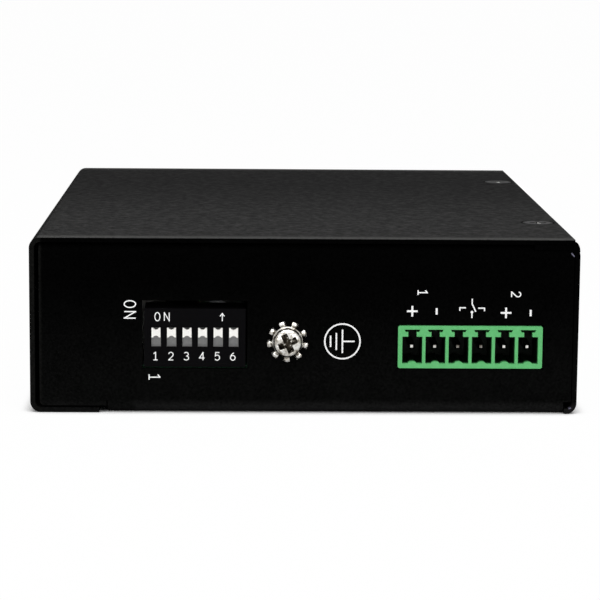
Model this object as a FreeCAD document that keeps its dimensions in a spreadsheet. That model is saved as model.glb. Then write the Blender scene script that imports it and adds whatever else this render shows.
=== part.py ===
"""DIN rail Ethernet switch in a folded sheet-steel case.

Frame: the case lies on its large side. Z is up from the underside, X runs from the port
wall to the DIN rail wall, Y runs along the case from the power end to the far end. The
origin is the centre of the case's underside. All sizes are in millimetres.
"""
import FreeCAD
import Part
import Sketcher
import os
import re

# ---------------------------------------------------------------- driving dimensions
SIZES = {
    # case
    "case_width": 90,            # port wall to DIN rail wall, outside
    "case_length": 110,          # power end to far end, outside
    "case_height": 29,           # underside to cover top, outside
    "base_sheet": 0.8,           # sheet of the base tray
    "cover_sheet": 0.8,          # sheet of the cover
    "bend_radius": 1.0,          # inside radius of every bend in the case
    "lap_gap": 0.1,              # paint gap where the cover laps over the tray
    "corner_relief": 0.2,        # relief past each bend where two bends meet
    "port_gap": 0.75,            # end panel edge to the cover's port wall
    "seam_gap": 0.15,            # end panel edge to the rail wall
    "corner_nip": 0.6,           # corner cut off the end panel, clear of the rail wall's bend
    "hem_gap": 0.35,             # end panel's free edge over the return flange
    "hem_round": 0.8,            # rounded corner of that free edge
    "rail_flange": 7.5,          # top flange of the rail wall, over the outside
    "end_flange": 8,             # top flanges of the end panels, over the outside
    "cover_setback": 0.9,        # rail wall face to the cover's edge
    "return_flange": 11.3,       # part of the cover that wraps under the tray
    "flange_gap": 0.25,          # return flange edge to the joggle in the tray
    "joggle_run": 1.15,          # length of the step in the tray's floor
    # screws, nuts and washer
    "thread_radius": 1.5,
    "thread_gap": 0.05,          # screw thread to nut bore
    "hole_gap": 0.15,            # screw shank to a clearance hole
    "flush_head": 5.2,           # diameter of the countersunk heads
    "sink_gap": 0.06,            # countersunk head to its countersink, on the radius
    "flush_length": 4,
    "pan_head": 4.8,             # diameter of the pan heads
    "pan_height": 1.9,
    "pan_crown": 1.55,           # radius of the pan head's flat top
    "hex_corner": 2.7,           # middle to the corners of the board screws' heads
    "hex_height": 1.8,
    "pan_length": 5.4,
    "recess_arm": 0.9,           # width of a cross recess arm
    "recess_span": 2.9,          # across the arms of a cross recess
    "recess_slope": 12,          # degrees that the recess narrows by
    "recess_depth": 1.1,
    "nut_corner": 2.6,           # middle to the corners of the clinch nuts
    "nut_height": 2.2,
    "cover_screw_inset": 3.4,    # cover edge to the two top screws
    "flange_screw_inset": 5.5,   # port wall face to the two bottom screws
    "cover_screw_end": 22.5,     # ends of the case to the case screws
    # circuit board on its standoffs
    "board_top": 7.65,           # underside of the case to the component side
    "board_sheet": 1.6,
    "board_end_gap": 1.2,        # board edge to the end panels
    "board_rail_gap": 1.2,       # board edge to the rail wall
    "board_port_gap": 0.7,       # board edge to the port wall
    "standoff_corner": 3.0,      # middle to the corners of the standoffs
    "hole_port_inset": 7,        # board edge to the hole beside the slide switch
    "hole_rail_inset": 4.5,      # board edge to the holes along the rail wall
    "hole_end_inset": 4.5,       # board ends to the holes nearest them
    "hole_power_inset": 15,      # board end to the hole behind the power header
    "hole_jack_x": 3,            # middle of the case to the hole behind the last jack
    # modular jacks
    "jack_width": 15.9,
    "jack_height": 13.4,
    "jack_depth": 21.3,
    "jack_space": 0.7,           # between neighbouring jacks
    "far_share": 0.34,           # share of the row's free length at the far end
    "jack_inset": 0.2,           # jack face behind the port wall's face
    "jack_window_gap": 0.15,
    "shield_sheet": 0.25,
    "shield_lip": 1.0,           # rim of the shield around the jack's face
    "plug_width": 11.9,          # cavity for the plug
    "plug_height": 7.0,
    "plug_depth": 14.5,
    "plug_floor": 3.6,           # board to the cavity's floor
    "latch_width": 6.3,          # keyway for the plug's latch
    "latch_drop": 1.3,
    "tongue_width": 4.0,
    "tongue_drop": 2.5,
    "lamp_width": 2.8,           # lamp windows over the cavity
    "lamp_height": 1.5,
    "lamp_depth": 1.2,
    "contact_pitch": 1.02,
    "contact_width": 0.4,
    "contact_sheet": 0.3,
    "contact_drop": 2.1,
    "contact_start": 2.2,
    "contact_end": 11,
    # six-way slide switch
    "switch_x": -18,
    "switch_width": 16.6,
    "switch_height": 9.65,
    "switch_depth": 6.2,
    "switch_inset": 0.2,         # switch face behind the end panel's face
    "switch_side_gap": 0.3,
    "switch_top_gap": 1.4,
    "switch_pitch": 2.54,
    "slot_width": 1.57,
    "slot_height": 3.35,
    "slot_floor": 3.2,           # bottom of the switch to the slots
    "switch_skin": 0.95,
    "slide_gap": 0.06,
    "slide_travel": 1.65,
    "slide_plate": 0.5,
    "slide_shoulder": 0.15,      # how far the slide plate reaches past the slot, each side
    "knob_proud": 0.35,
    "notch_half": 0.52,          # half width of the hollows in a knob's ends
    "notch_depth": 0.32,
    "channel_end": 0.15,
    # six-pole power header
    "header_x": 27.2,
    "header_height": 7.05,
    "header_depth": 9.2,
    "header_proud": 0.3,
    "header_gap": 0.2,
    "pole_pitch": 3.81,
    "pole_width": 3.3,
    "header_end_wall": 0.7,
    "header_floor": 0.78,
    "header_roof": 0.62,
    "key_height": 0.42,
    "key_width": 2.6,
    "key_slant": 0.2,
    "tab_height": 0.75,
    "tab_gap": 1.4,
    "bump_width": 1.5,
    "bump_height": 0.34,
    "pole_depth": 7.9,
    "pin_side": 0.9,
    "pin_recess": 1.6,
    "pin_point": 0.3,            # length of the pin's pointed end
    "pin_slope": 38,             # degrees that the point narrows by
    "pin_height": 3.38,
    "pin_tail": 1.3,
    # ground terminal
    "ground_x": -2.8,
    "ground_z": 11.98,
    "ground_turn": 24,           # degrees that the screw stopped at
    "washer_radius": 3.35,
    "washer_root": 2.55,
    "washer_sheet": 0.55,
    "tooth_gap": 1.2,
    # status lamps on the port wall
    "status_pitch": 3.9,
    "status_space": 0.8,         # lamp holder to the first jack
    "status_radius": 1.5,
    "status_height": 7.5,        # board to the lamp's axis
    "status_gap": 0.1,
    "status_body": 4.4,
    "status_proud": 0.3,
    "holder_side": 4.0,
    "holder_margin": 1.9,        # lamp axis to the holder's end
    "holder_height": 9.8,
    # parts on the board
    "magnetics_width": 12.7,
    "magnetics_length": 15.1,
    "magnetics_height": 5.9,
    "magnetics_gap": 2.2,
    "chip_side": 20,
    "chip_height": 1.4,
    "chip_x": 12,
    "chip_y": 16,
    "pad_sheet": 0.3,
    "sink_side": 19,
    "sink_base": 1.6,
    "sink_height": 8,
    "fin_sheet": 0.9,
    "fin_pitch": 3.0,
    "relay_x": 29,
    "relay_inset": 28,           # power end to the relay's middle
    "relay_width": 15,
    "relay_length": 7.4,
    "relay_height": 10,
    "coil_x": 9,
    "coil_inset": 19,            # power end to the coil's middle
    "coil_side": 12,
    "coil_height": 6,
    "can_x": -14,
    "can_pitch": 11,
    "can_radius": 4,
    "can_height": 10.2,
    "can_foot": 8.3,
    "crystal_x": 12,
    "crystal_y": 1,
    "crystal_width": 11,
    "crystal_length": 4.7,
    "crystal_height": 3.5,
    # DIN rail clip
    "rail_width": 35,            # top-hat rail
    "clip_width": 14,
    "clip_sheet": 1.2,
    "clip_slot": 1.3,            # slot for the rail's edge
    "clip_play": 0.3,
    "clip_lip": 3.2,
    "clip_spring_room": 5.3,
    "clip_spring_lip": 7.3,
    "clip_screw_spread": 18,
    "spring_span": 12,
    "spring_rise": 3.5,
    "spring_sheet": 0.4,
}

JACKS = 5
POLES = 6
STATUS_LAMPS = 3
FINS = 6
WASHER_TEETH = 9
SPRING_STEPS = 8
NOTCH_STEPS = 6

doc = FreeCAD.newDocument("din_rail_switch")
dims = doc.addObject("Spreadsheet::Sheet", "Dims")
for row, (name, value) in enumerate(SIZES.items(), start=1):
    dims.set(f"A{row}", name)
    dims.set(f"B{row}", str(value))
    dims.setAlias(f"B{row}", name)
doc.recompute()


# ---------------------------------------------------------------- sizes as expressions
def bound(text):
    """The text of a size, with each named dimension read from the sheet."""
    return re.sub(r"[a-z_]+", lambda word: "Dims." + word[0] if word[0] in SIZES else word[0], str(text))


def mm(text):
    """The value of a size in millimetres."""
    return float(dims.evalExpression(str(text)))


def place(item, x="0", y="0", z="0"):
    """Binds an object's position."""
    for axis, text in zip("xyz", (x, y, z)):
        item.setExpression(f"Placement.Base.{axis}", bound(text))


# ---------------------------------------------------------------- sketches
def new_body(name):
    body = doc.addObject("PartDesign::Body", name)
    body.Label = name
    return body


def sketch(body, name, plane, offset="0"):
    """A sketch on one of the body's origin planes, moved along the plane's normal."""
    item = body.newObject("Sketcher::SketchObject", name)
    face = next(f for f in body.Origin.OriginFeatures if f.Role == plane)
    item.AttachmentSupport = [(face, "")]
    item.MapMode = "FlatFace"
    item.setExpression("AttachmentOffset.Base.z", bound(offset))
    return item


def pin_point(item, geometry, vertex, x, y):
    """Holds a sketch vertex at x, y from the sketch's origin."""
    for kind, text in (("DistanceX", x), ("DistanceY", y)):
        index = item.addConstraint(Sketcher.Constraint(kind, -1, 1, geometry, vertex, mm(text)))
        item.setExpression(f"Constraints[{index}]", bound(text))


def polygon(item, points):
    """A closed outline with straight sides."""
    first = item.GeometryCount
    spots = [FreeCAD.Vector(mm(x), mm(y), 0) for x, y in points]
    count = len(spots)
    item.addGeometry([Part.LineSegment(spots[i], spots[(i + 1) % count]) for i in range(count)], False)
    for i in range(count):
        item.addConstraint(Sketcher.Constraint("Coincident", first + i, 2, first + (i + 1) % count, 1))
    for i, (x, y) in enumerate(points):
        pin_point(item, first + i, 1, x, y)


def rectangle(item, x0, x1, y0, y1):
    polygon(item, [(x0, y0), (x1, y0), (x1, y1), (x0, y1)])


def circle(item, x, y, radius):
    centre = FreeCAD.Vector(mm(x), mm(y), 0)
    geometry = item.addGeometry(Part.Circle(centre, FreeCAD.Vector(0, 0, 1), mm(radius)), False)
    pin_point(item, geometry, 3, x, y)
    index = item.addConstraint(Sketcher.Constraint("Radius", geometry, mm(radius)))
    item.setExpression(f"Constraints[{index}]", bound(radius))


# ---------------------------------------------------------------- features
def feature(body, kind, profile, length, sides, back):
    item = body.newObject(f"PartDesign::{kind}", f"{profile.Name}_{kind.lower()}")
    item.Profile = profile
    item.SideType = sides
    item.setExpression("Length", bound(length))
    if back is not None:
        item.setExpression("Length2", bound(back))
    doc.recompute()
    return item


def pad(body, profile, length, sides="Symmetric", back=None):
    """Adds the profile, both ways by default, or by two lengths along and against its normal."""
    return feature(body, "Pad", profile, length, sides, back)


def pocket(body, profile, length, sides="Symmetric", back=None):
    """Removes the profile, both ways by default."""
    return feature(body, "Pocket", profile, length, sides, back)


def nearest_edges(shape, spots):
    """The names of the edges that pass nearest to the given spots."""
    names = []
    for x, y, z in spots:
        spot = Part.Vertex(FreeCAD.Vector(mm(x), mm(y), mm(z)))
        distances = [edge.distToShape(spot)[0] for edge in shape.Edges]
        names.append(f"Edge{1 + distances.index(min(distances))}")
    return names


def fillet(body, radius, spots):
    """Rounds the edges of the body's tip that pass through the spots."""
    base = body.Tip
    item = body.newObject("PartDesign::Fillet", f"{base.Name}_fillet")
    item.Base = (base, nearest_edges(base.Shape, spots))
    item.setExpression("Radius", bound(radius))
    doc.recompute()
    return item


def bend(body, corners, inner="bend_radius", sheet="base_sheet"):
    """Rounds the outer and the inner edge of each fold; corners pairs their spots."""
    fillet(body, f"{inner} + {sheet}", [outer for outer, _ in corners])
    fillet(body, inner, [inside for _, inside in corners])


def block(name, x0, x1, y0, y1, z0, z1):
    """A Part box between bound limits."""
    item = doc.addObject("Part::Box", name)
    item.Label = name
    for size, low, high in (("Length", x0, x1), ("Width", y0, y1), ("Height", z0, z1)):
        item.setExpression(size, bound(f"({high}) - ({low})"))
    place(item, x0, y0, z0)
    return item


def cylinder(name, radius, height, x="0", y="0", z="0"):
    item = doc.addObject("Part::Cylinder", name)
    item.Label = name
    item.setExpression("Radius", bound(radius))
    item.setExpression("Height", bound(height))
    place(item, x, y, z)
    return item


def hexagon(name, corner, height, z="0"):
    item = doc.addObject("Part::Prism", name)
    item.Label = name
    item.Polygon = 6
    item.setExpression("Circumradius", bound(corner))
    item.setExpression("Height", bound(height))
    place(item, "0", "0", z)
    return item


def cut(name, base, tool):
    item = doc.addObject("Part::Cut", name)
    item.Label = name
    item.Base = base
    item.Tool = tool
    return item


def fuse(name, pieces):
    item = doc.addObject("Part::MultiFuse", name)
    item.Label = name
    item.Shapes = pieces
    return item


def copies(name, master, spots, axis=(0, 0, 1), turn=0, spin="0"):
    """One node of separate like solids: the master spun about its Z, turned and linked to each spot."""
    spun = FreeCAD.Rotation(FreeCAD.Vector(0, 0, 1), mm(spin))
    links = []
    for index, (x, y, z) in enumerate(spots, start=1):
        link = doc.addObject("App::Link", f"{name}_{index}")
        link.LinkedObject = master
        link.LinkTransform = True
        link.Placement.Rotation = FreeCAD.Rotation(FreeCAD.Vector(*axis), turn).multiply(spun)
        place(link, x, y, z)
        links.append(link)
    group = doc.addObject("Part::Compound", name)
    group.Label = name
    group.Links = links
    return group


# ---------------------------------------------------------------- places shared by pieces
PORT = "(-case_width / 2)"                                   # outside of the port wall
RAIL = "(case_width / 2)"                                    # outside of the rail wall
POWER = "(-case_length / 2)"                                 # outside of the power end
TRAY_TOP = "(case_height - cover_sheet - lap_gap)"           # top of the tray's flanges
TRAY_LAP = "(cover_sheet + lap_gap)"                         # raised strip of the tray's floor
BEND_END = "(bend_radius + base_sheet + corner_relief)"
FOLD_FRONT = f"({PORT} + cover_sheet + bend_radius + lap_gap)"
PANEL_FRONT = f"({PORT} + cover_sheet + port_gap)"
PANEL_BACK = f"({RAIL} - base_sheet - seam_gap)"
FLANGE_EDGE = f"({PORT} + return_flange)"                    # edge of the cover's return flange
JOGGLE_FRONT = f"({FLANGE_EDGE} + flange_gap)"
JOGGLE_BACK = f"({JOGGLE_FRONT} + joggle_run)"
COVER_EDGE = f"({RAIL} - cover_setback)"
TOP_SCREW_X = f"({COVER_EDGE} - cover_screw_inset)"
FLANGE_SCREW_X = f"({PORT} + flange_screw_inset)"
SCREW_Y = "(case_length / 2 - cover_screw_end)"
CLIP_Z = "(case_height / 2)"
CLIP_SCREW_Y = "(clip_screw_spread / 2)"
BOARD_BACK = "(board_top - board_sheet)"
HOLE = "(thread_radius + hole_gap)"
BORE_CORNER = "(2 * (thread_radius + thread_gap) / sqrt(3))"
BOARD_FRONT = f"({PORT} + cover_sheet + board_port_gap)"
BOARD_RAIL = f"({RAIL} - base_sheet - board_rail_gap)"
BOARD_END = "(case_length / 2 - base_sheet - board_end_gap)"
HOLE_RAIL_X = f"({BOARD_RAIL} - hole_rail_inset)"
HOLE_END_Y = f"({BOARD_END} - hole_end_inset)"
BOARD_HOLES = [
    (f"({BOARD_FRONT} + hole_port_inset)", f"(-{HOLE_END_Y})"),
    ("(-hole_jack_x)", HOLE_END_Y),
    (HOLE_RAIL_X, HOLE_END_Y),
    (HOLE_RAIL_X, f"(hole_power_inset - {BOARD_END})"),
]
SWITCH_FACE = f"({POWER} + switch_inset)"
HEADER_WIDTH = f"(2 * header_end_wall + {POLES - 1} * pole_pitch + pole_width)"
HEADER_FACE = f"({POWER} - header_proud)"
JACK_FACE = f"({PORT} + jack_inset)"
HOLDER_LENGTH = f"({STATUS_LAMPS - 1} * status_pitch + 2 * holder_margin)"
JACK_ROW = f"({JACKS} * jack_width + {JACKS - 1} * jack_space)"
ROW_SLACK = f"(case_length - 2 * base_sheet - {HOLDER_LENGTH} - status_space - {JACK_ROW})"
JACK_LAST = f"(case_length / 2 - base_sheet - far_share * {ROW_SLACK} - jack_width / 2)"
JACK_FIRST = f"({JACK_LAST} - {JACKS - 1} * (jack_width + jack_space))"
STATUS_FIRST = f"({POWER} + base_sheet + (1 - far_share) * {ROW_SLACK} + holder_margin)"
STATUS_Z = "(board_top + status_height)"


def jack_y(number):
    """Middle of a jack along the case; the last one stands nearest the far end."""
    return f"({JACK_LAST} - {JACKS - number} * (jack_width + jack_space))"


def status_y(number):
    return f"({STATUS_FIRST} + {number - 1} * status_pitch)"


def slide_x(number):
    return f"(switch_x + {number - 1 - (POLES - 1) / 2} * switch_pitch)"


def pole_x(number):
    return f"(header_x + {number - 1 - (POLES - 1) / 2} * pole_pitch)"


# ---------------------------------------------------------------- base tray
def make_base_tray():
    """Folded steel tray: floor, rail wall and two end panels, with flanges under the cover.

    Along the port edge the floor steps up by one sheet, so that the cover's return flange
    lies flush beneath it, and the end panels hang free over that flange. The corners are
    open, with reliefs where two bends meet.
    """
    body = new_body("base_tray")

    # floor with its step, seen along Y; it stops short of the end panels' bends
    shift = f"base_sheet * tan(atan({TRAY_LAP} / joggle_run) / 2)"
    stub = f"({RAIL} - {BEND_END})"
    floor = sketch(body, "floor_section", "XZ_Plane")
    polygon(floor, [
        (FOLD_FRONT, TRAY_LAP), (JOGGLE_FRONT, TRAY_LAP), (JOGGLE_BACK, "0"), (stub, "0"),
        (stub, "base_sheet"), (f"{JOGGLE_BACK} + {shift}", "base_sheet"),
        (f"{JOGGLE_FRONT} + {shift}", f"{TRAY_LAP} + base_sheet"),
        (FOLD_FRONT, f"{TRAY_LAP} + base_sheet"),
    ])
    pad(body, floor, f"case_length - 2 * {BEND_END}")
    strip = sketch(body, "raised_strip", "XZ_Plane")
    rectangle(strip, FOLD_FRONT, JOGGLE_FRONT, TRAY_LAP, f"{TRAY_LAP} + base_sheet")
    pad(body, strip, "case_length - 2 * (base_sheet + lap_gap)")

    # rail wall with its bend at the floor and its top flange, from end to end
    wall = sketch(body, "rail_wall", "XZ_Plane")
    polygon(wall, [
        (stub, "0"), (RAIL, "0"), (RAIL, TRAY_TOP), (f"{RAIL} - rail_flange", TRAY_TOP),
        (f"{RAIL} - rail_flange", f"{TRAY_TOP} - base_sheet"),
        (f"{RAIL} - base_sheet", f"{TRAY_TOP} - base_sheet"),
        (f"{RAIL} - base_sheet", "base_sheet"), (stub, "base_sheet"),
    ])
    pad(body, wall, "case_length")
    bend(body, [
        ((RAIL, "0", "0"), (f"{RAIL} - base_sheet", "0", "base_sheet")),
        ((RAIL, "0", TRAY_TOP), (f"{RAIL} - base_sheet", "0", f"{TRAY_TOP} - base_sheet")),
    ])

    add_lower_bends(body)
    add_end_panel(body, "power_end", "-1")
    add_end_panel(body, "far_end", "1")
    add_tray_holes(body)
    return body


def add_lower_bends(body):
    """Floor and the upturns of both end panels, as a U seen along X."""
    x0, x1 = JOGGLE_BACK, f"({RAIL} - {BEND_END} - corner_relief)"
    section = sketch(body, "lower_bends", "YZ_Plane")
    out = "case_length / 2"
    inner = "(case_length / 2 - base_sheet)"
    polygon(section, [
        (f"-{out}", "0"), (out, "0"), (out, BEND_END), (inner, BEND_END),
        (inner, "base_sheet"), (f"-{inner}", "base_sheet"),
        (f"-{inner}", BEND_END), (f"-{out}", BEND_END),
    ])
    pad(body, section, x1, "Two sides", f"-({x0})")
    bend(body, [(("0", f"{side}{out}", "0"), ("0", f"{side}{inner}", "base_sheet")) for side in ("-", "")])


def add_end_panel(body, name, side):
    """Flat of one end panel, free over the return flange, and the flange bent in from its top edge."""
    flange_back = f"({RAIL} - rail_flange - corner_relief)"
    hem = "(cover_sheet + hem_gap)"
    hem_end = f"({JOGGLE_BACK} - corner_relief)"
    tuck = f"({TRAY_TOP} - base_sheet - lap_gap)"
    face = sketch(body, f"{name}_face", "XZ_Plane", f"-({side}) * (case_length / 2 - base_sheet / 2)")
    polygon(face, [
        (PANEL_FRONT, hem), (hem_end, hem), (hem_end, BEND_END), (PANEL_BACK, BEND_END),
        (PANEL_BACK, f"{tuck} - corner_nip"), (f"{PANEL_BACK} - corner_nip", tuck),
        (flange_back, tuck), (flange_back, f"{TRAY_TOP} - {BEND_END}"),
        (PANEL_FRONT, f"{TRAY_TOP} - {BEND_END}"),
    ])
    pad(body, face, "base_sheet")

    out = f"{side} * case_length / 2"
    inner = f"{side} * (case_length / 2 - base_sheet)"
    reach = f"{side} * (case_length / 2 - end_flange)"
    flange = sketch(body, f"{name}_flange", "YZ_Plane")
    polygon(flange, [
        (out, f"{TRAY_TOP} - {BEND_END}"), (out, TRAY_TOP), (reach, TRAY_TOP),
        (reach, f"{TRAY_TOP} - base_sheet"), (inner, f"{TRAY_TOP} - base_sheet"),
        (inner, f"{TRAY_TOP} - {BEND_END}"),
    ])
    pad(body, flange, flange_back, "Two sides", f"-({PANEL_FRONT})")
    bend(body, [(("0", out, TRAY_TOP), ("0", inner, f"{TRAY_TOP} - base_sheet"))])
    fillet(body, "hem_round", [(PANEL_FRONT, f"{side} * (case_length / 2 - base_sheet / 2)", hem)])


def add_tray_holes(body):
    """Openings for the slide switch, the power header and the screws."""
    window = sketch(body, "power_end_windows", "XZ_Plane", "case_length / 2 - base_sheet / 2")
    rectangle(window, "switch_x - switch_width / 2 - switch_side_gap",
              "switch_x + switch_width / 2 + switch_side_gap",
              "board_top - switch_side_gap", "board_top + switch_height + switch_top_gap")
    rectangle(window, f"header_x - {HEADER_WIDTH} / 2 - header_gap",
              f"header_x + {HEADER_WIDTH} / 2 + header_gap",
              "board_top - header_gap", "board_top + header_height + header_gap")
    circle(window, "ground_x", "ground_z", HOLE)
    pocket(body, window, "3 * base_sheet")

    top = sketch(body, "top_screw_holes", "XY_Plane", f"{TRAY_TOP} - base_sheet / 2")
    for side in ("-", ""):
        circle(top, TOP_SCREW_X, f"{side}{SCREW_Y}", f"{HOLE} + lap_gap")
    pocket(body, top, "2 * base_sheet")

    under = sketch(body, "flange_screw_holes", "XY_Plane", f"{TRAY_LAP} + base_sheet / 2")
    for side in ("-", ""):
        circle(under, FLANGE_SCREW_X, f"{side}{SCREW_Y}", f"{HOLE} + lap_gap")
    pocket(body, under, "2 * base_sheet")

    clip = sketch(body, "clip_screw_holes", "YZ_Plane", f"{RAIL} - base_sheet / 2")
    for side in ("-", ""):
        circle(clip, f"{side}{CLIP_SCREW_Y}", CLIP_Z, HOLE)
    pocket(body, clip, "2 * base_sheet")


# ---------------------------------------------------------------- cover
def make_top_cover():
    """Folded steel cover: top, port wall and a return flange that hooks under the tray."""
    body = new_body("top_cover")
    section = sketch(body, "cover_section", "XZ_Plane")
    inner = f"({PORT} + cover_sheet)"
    under = "(case_height - cover_sheet)"
    polygon(section, [
        (FLANGE_EDGE, "0"), (PORT, "0"), (PORT, "case_height"), (COVER_EDGE, "case_height"),
        (COVER_EDGE, under), (inner, under), (inner, "cover_sheet"), (FLANGE_EDGE, "cover_sheet"),
    ])
    pad(body, section, "case_length")
    bend(body, [
        ((PORT, "0", "0"), (inner, "0", "cover_sheet")),
        ((PORT, "0", "case_height"), (inner, "0", under)),
    ], sheet="cover_sheet")

    # openings in the port wall
    window = sketch(body, "port_windows", "YZ_Plane", f"{PORT} + cover_sheet / 2")
    for number in range(1, JACKS + 1):
        middle = jack_y(number)
        rectangle(window, f"{middle} - jack_width / 2 - jack_window_gap",
                  f"{middle} + jack_width / 2 + jack_window_gap",
                  "board_top - jack_window_gap", "board_top + jack_height + jack_window_gap")
    for number in range(1, STATUS_LAMPS + 1):
        circle(window, status_y(number), STATUS_Z, "status_radius + status_gap")
    pocket(body, window, "2 * cover_sheet")

    # countersinks for the flush screws, two in the top and two in the return flange
    rim = "flush_head / 2 + sink_gap"
    throat = "flush_head / 2 + sink_gap - cover_sheet"
    for index, (x, side, level, low, high) in enumerate([
        (TOP_SCREW_X, "-", under, throat, rim),
        (TOP_SCREW_X, "", under, throat, rim),
        (FLANGE_SCREW_X, "-", "0", rim, throat),
        (FLANGE_SCREW_X, "", "0", rim, throat),
    ], start=1):
        sink = body.newObject("PartDesign::SubtractiveCone", f"countersink_{index}")
        sink.setExpression("Radius1", bound(low))
        sink.setExpression("Radius2", bound(high))
        sink.setExpression("Height", "Dims.cover_sheet")
        place(sink, x, f"{side}{SCREW_Y}", level)
        doc.recompute()
    return body


# ---------------------------------------------------------------- screws, nuts and washer
def add_cross_recess(body, level):
    """Cross recess sunk from the given level."""
    arms = sketch(body, f"{body.Name}_recess", "XY_Plane", level)
    span, arm = "recess_span / 2", "recess_arm / 2"
    polygon(arms, [
        (f"-{span}", f"-{arm}"), (f"-{arm}", f"-{arm}"), (f"-{arm}", f"-{span}"), (arm, f"-{span}"),
        (arm, f"-{arm}"), (span, f"-{arm}"), (span, arm), (arm, arm),
        (arm, span), (f"-{arm}", span), (f"-{arm}", arm), (f"-{span}", arm),
    ])
    recess = pocket(body, arms, "2 * recess_depth")
    recess.setExpression("TaperAngle", bound("-recess_slope"))


def turned(body, name, points):
    """Revolves a half section about the body's Z axis."""
    profile = sketch(body, name, "XZ_Plane")
    polygon(profile, points)
    item = body.newObject("PartDesign::Revolution", f"{name}_turned")
    item.Profile = profile
    item.ReferenceAxis = (profile, ["V_Axis"])
    item.Angle = 360
    doc.recompute()
    return item


def make_flush_screw():
    """Countersunk screw with its head top at Z = 0."""
    body = new_body("flush_screw")
    throat = "(flush_head / 2 - thread_radius)"
    turned(body, "flush_profile", [
        ("0", "0"), ("flush_head / 2", "0"), ("thread_radius", f"-{throat}"),
        ("thread_radius", "-flush_length"), ("0", "-flush_length"),
    ])
    add_cross_recess(body, "0")
    return body


def make_pan_screw():
    """Pan screw with its bearing face at Z = 0."""
    body = new_body("pan_screw")
    turned(body, "pan_profile", [
        ("0", "pan_height"), ("pan_crown", "pan_height"),
        ("(pan_crown + pan_head / 2) / 2", "3 * pan_height / 4"), ("pan_head / 2", "pan_height / 3"),
        ("pan_head / 2", "0"), ("thread_radius", "0"),
        ("thread_radius", "-pan_length"), ("0", "-pan_length"),
    ])
    add_cross_recess(body, "pan_height")
    return body


def make_hex_screw():
    """Hexagon screw with its bearing face at Z = 0."""
    head = hexagon("hex_head", "hex_corner", "hex_height")
    shank = cylinder("hex_shank", "thread_radius", "pan_length + hex_height / 2", z="-pan_length")
    return fuse("hex_screw", [head, shank])


def make_nut_master():
    """Hexagon clinch nut, its collar at Z = 0 against the sheet."""
    collar = hexagon("nut_collar", "nut_corner", "nut_height")
    bore = hexagon("nut_bore", BORE_CORNER, "2 * nut_height", z="-nut_height / 2")
    return cut("clinch_nut", collar, bore)


def make_fasteners():
    flush = make_flush_screw()
    pan = make_pan_screw()
    hexed = make_hex_screw()
    nut = make_nut_master()

    top = copies("top_flush_screws", flush, [
        (TOP_SCREW_X, f"-{SCREW_Y}", "case_height"), (TOP_SCREW_X, SCREW_Y, "case_height")])
    under = copies("bottom_flush_screws", flush, [
        (FLANGE_SCREW_X, f"-{SCREW_Y}", "0"), (FLANGE_SCREW_X, SCREW_Y, "0")], (1, 0, 0), 180)
    screws = doc.addObject("Part::Compound", "cover_screws")
    screws.Links = [top, under]

    clip_face = f"{RAIL} + clip_sheet"
    clip_screws = copies("clip_screws", flush, [
        (clip_face, f"-{CLIP_SCREW_Y}", CLIP_Z), (clip_face, CLIP_SCREW_Y, CLIP_Z)], (0, 1, 0), 90)
    washer_face = f"{POWER} - washer_sheet"
    ground_screw = copies("ground_screw", pan, [("ground_x", washer_face, "ground_z")],
                          (1, 0, 0), 90, "ground_turn")
    board_screws = copies("board_screws", hexed, [(x, y, "board_top") for x, y in BOARD_HOLES])

    sheet_under = f"{TRAY_TOP} - base_sheet - nut_height"
    floor_top = f"{TRAY_LAP} + base_sheet"
    upright = copies("cover_nuts", nut, [
        (TOP_SCREW_X, f"-{SCREW_Y}", sheet_under), (TOP_SCREW_X, SCREW_Y, sheet_under),
        (FLANGE_SCREW_X, f"-{SCREW_Y}", floor_top), (FLANGE_SCREW_X, SCREW_Y, floor_top)])
    wall_inside = f"{RAIL} - base_sheet"
    sideways = copies("clip_nuts", nut, [
        (wall_inside, f"-{CLIP_SCREW_Y}", CLIP_Z), (wall_inside, CLIP_SCREW_Y, CLIP_Z)], (0, 1, 0), -90)
    panel_inside = f"{POWER} + base_sheet"
    end = copies("ground_nut", nut, [("ground_x", panel_inside, "ground_z")], (1, 0, 0), -90)
    nuts = doc.addObject("Part::Compound", "clinch_nuts")
    nuts.Links = [upright, sideways, end]
    return [screws, clip_screws, ground_screw, board_screws, nuts]


def make_ground_washer():
    """External-tooth lock washer under the ground screw's head."""
    body = new_body("ground_washer")
    middle = "case_length / 2 + washer_sheet / 2"
    ring = sketch(body, "washer_ring", "XZ_Plane", middle)
    circle(ring, "ground_x", "ground_z", "washer_radius")
    circle(ring, "ground_x", "ground_z", HOLE)
    pad(body, ring, "washer_sheet")

    notches = sketch(body, "washer_notches", "XZ_Plane", middle)
    for tooth in range(WASHER_TEETH):
        angle = 360.0 * tooth / WASHER_TEETH
        along, across = f"cos({angle})", f"sin({angle})"
        corners = []
        for reach, half in (("washer_root", "-tooth_gap / 2"), ("(washer_radius + 1)", "-tooth_gap / 2"),
                            ("(washer_radius + 1)", "tooth_gap / 2"), ("washer_root", "tooth_gap / 2")):
            corners.append((f"ground_x + {reach} * {along} - ({half}) * {across}",
                            f"ground_z + {reach} * {across} + ({half}) * {along}"))
        polygon(notches, corners)
    pocket(body, notches, "2 * washer_sheet")
    return body


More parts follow.
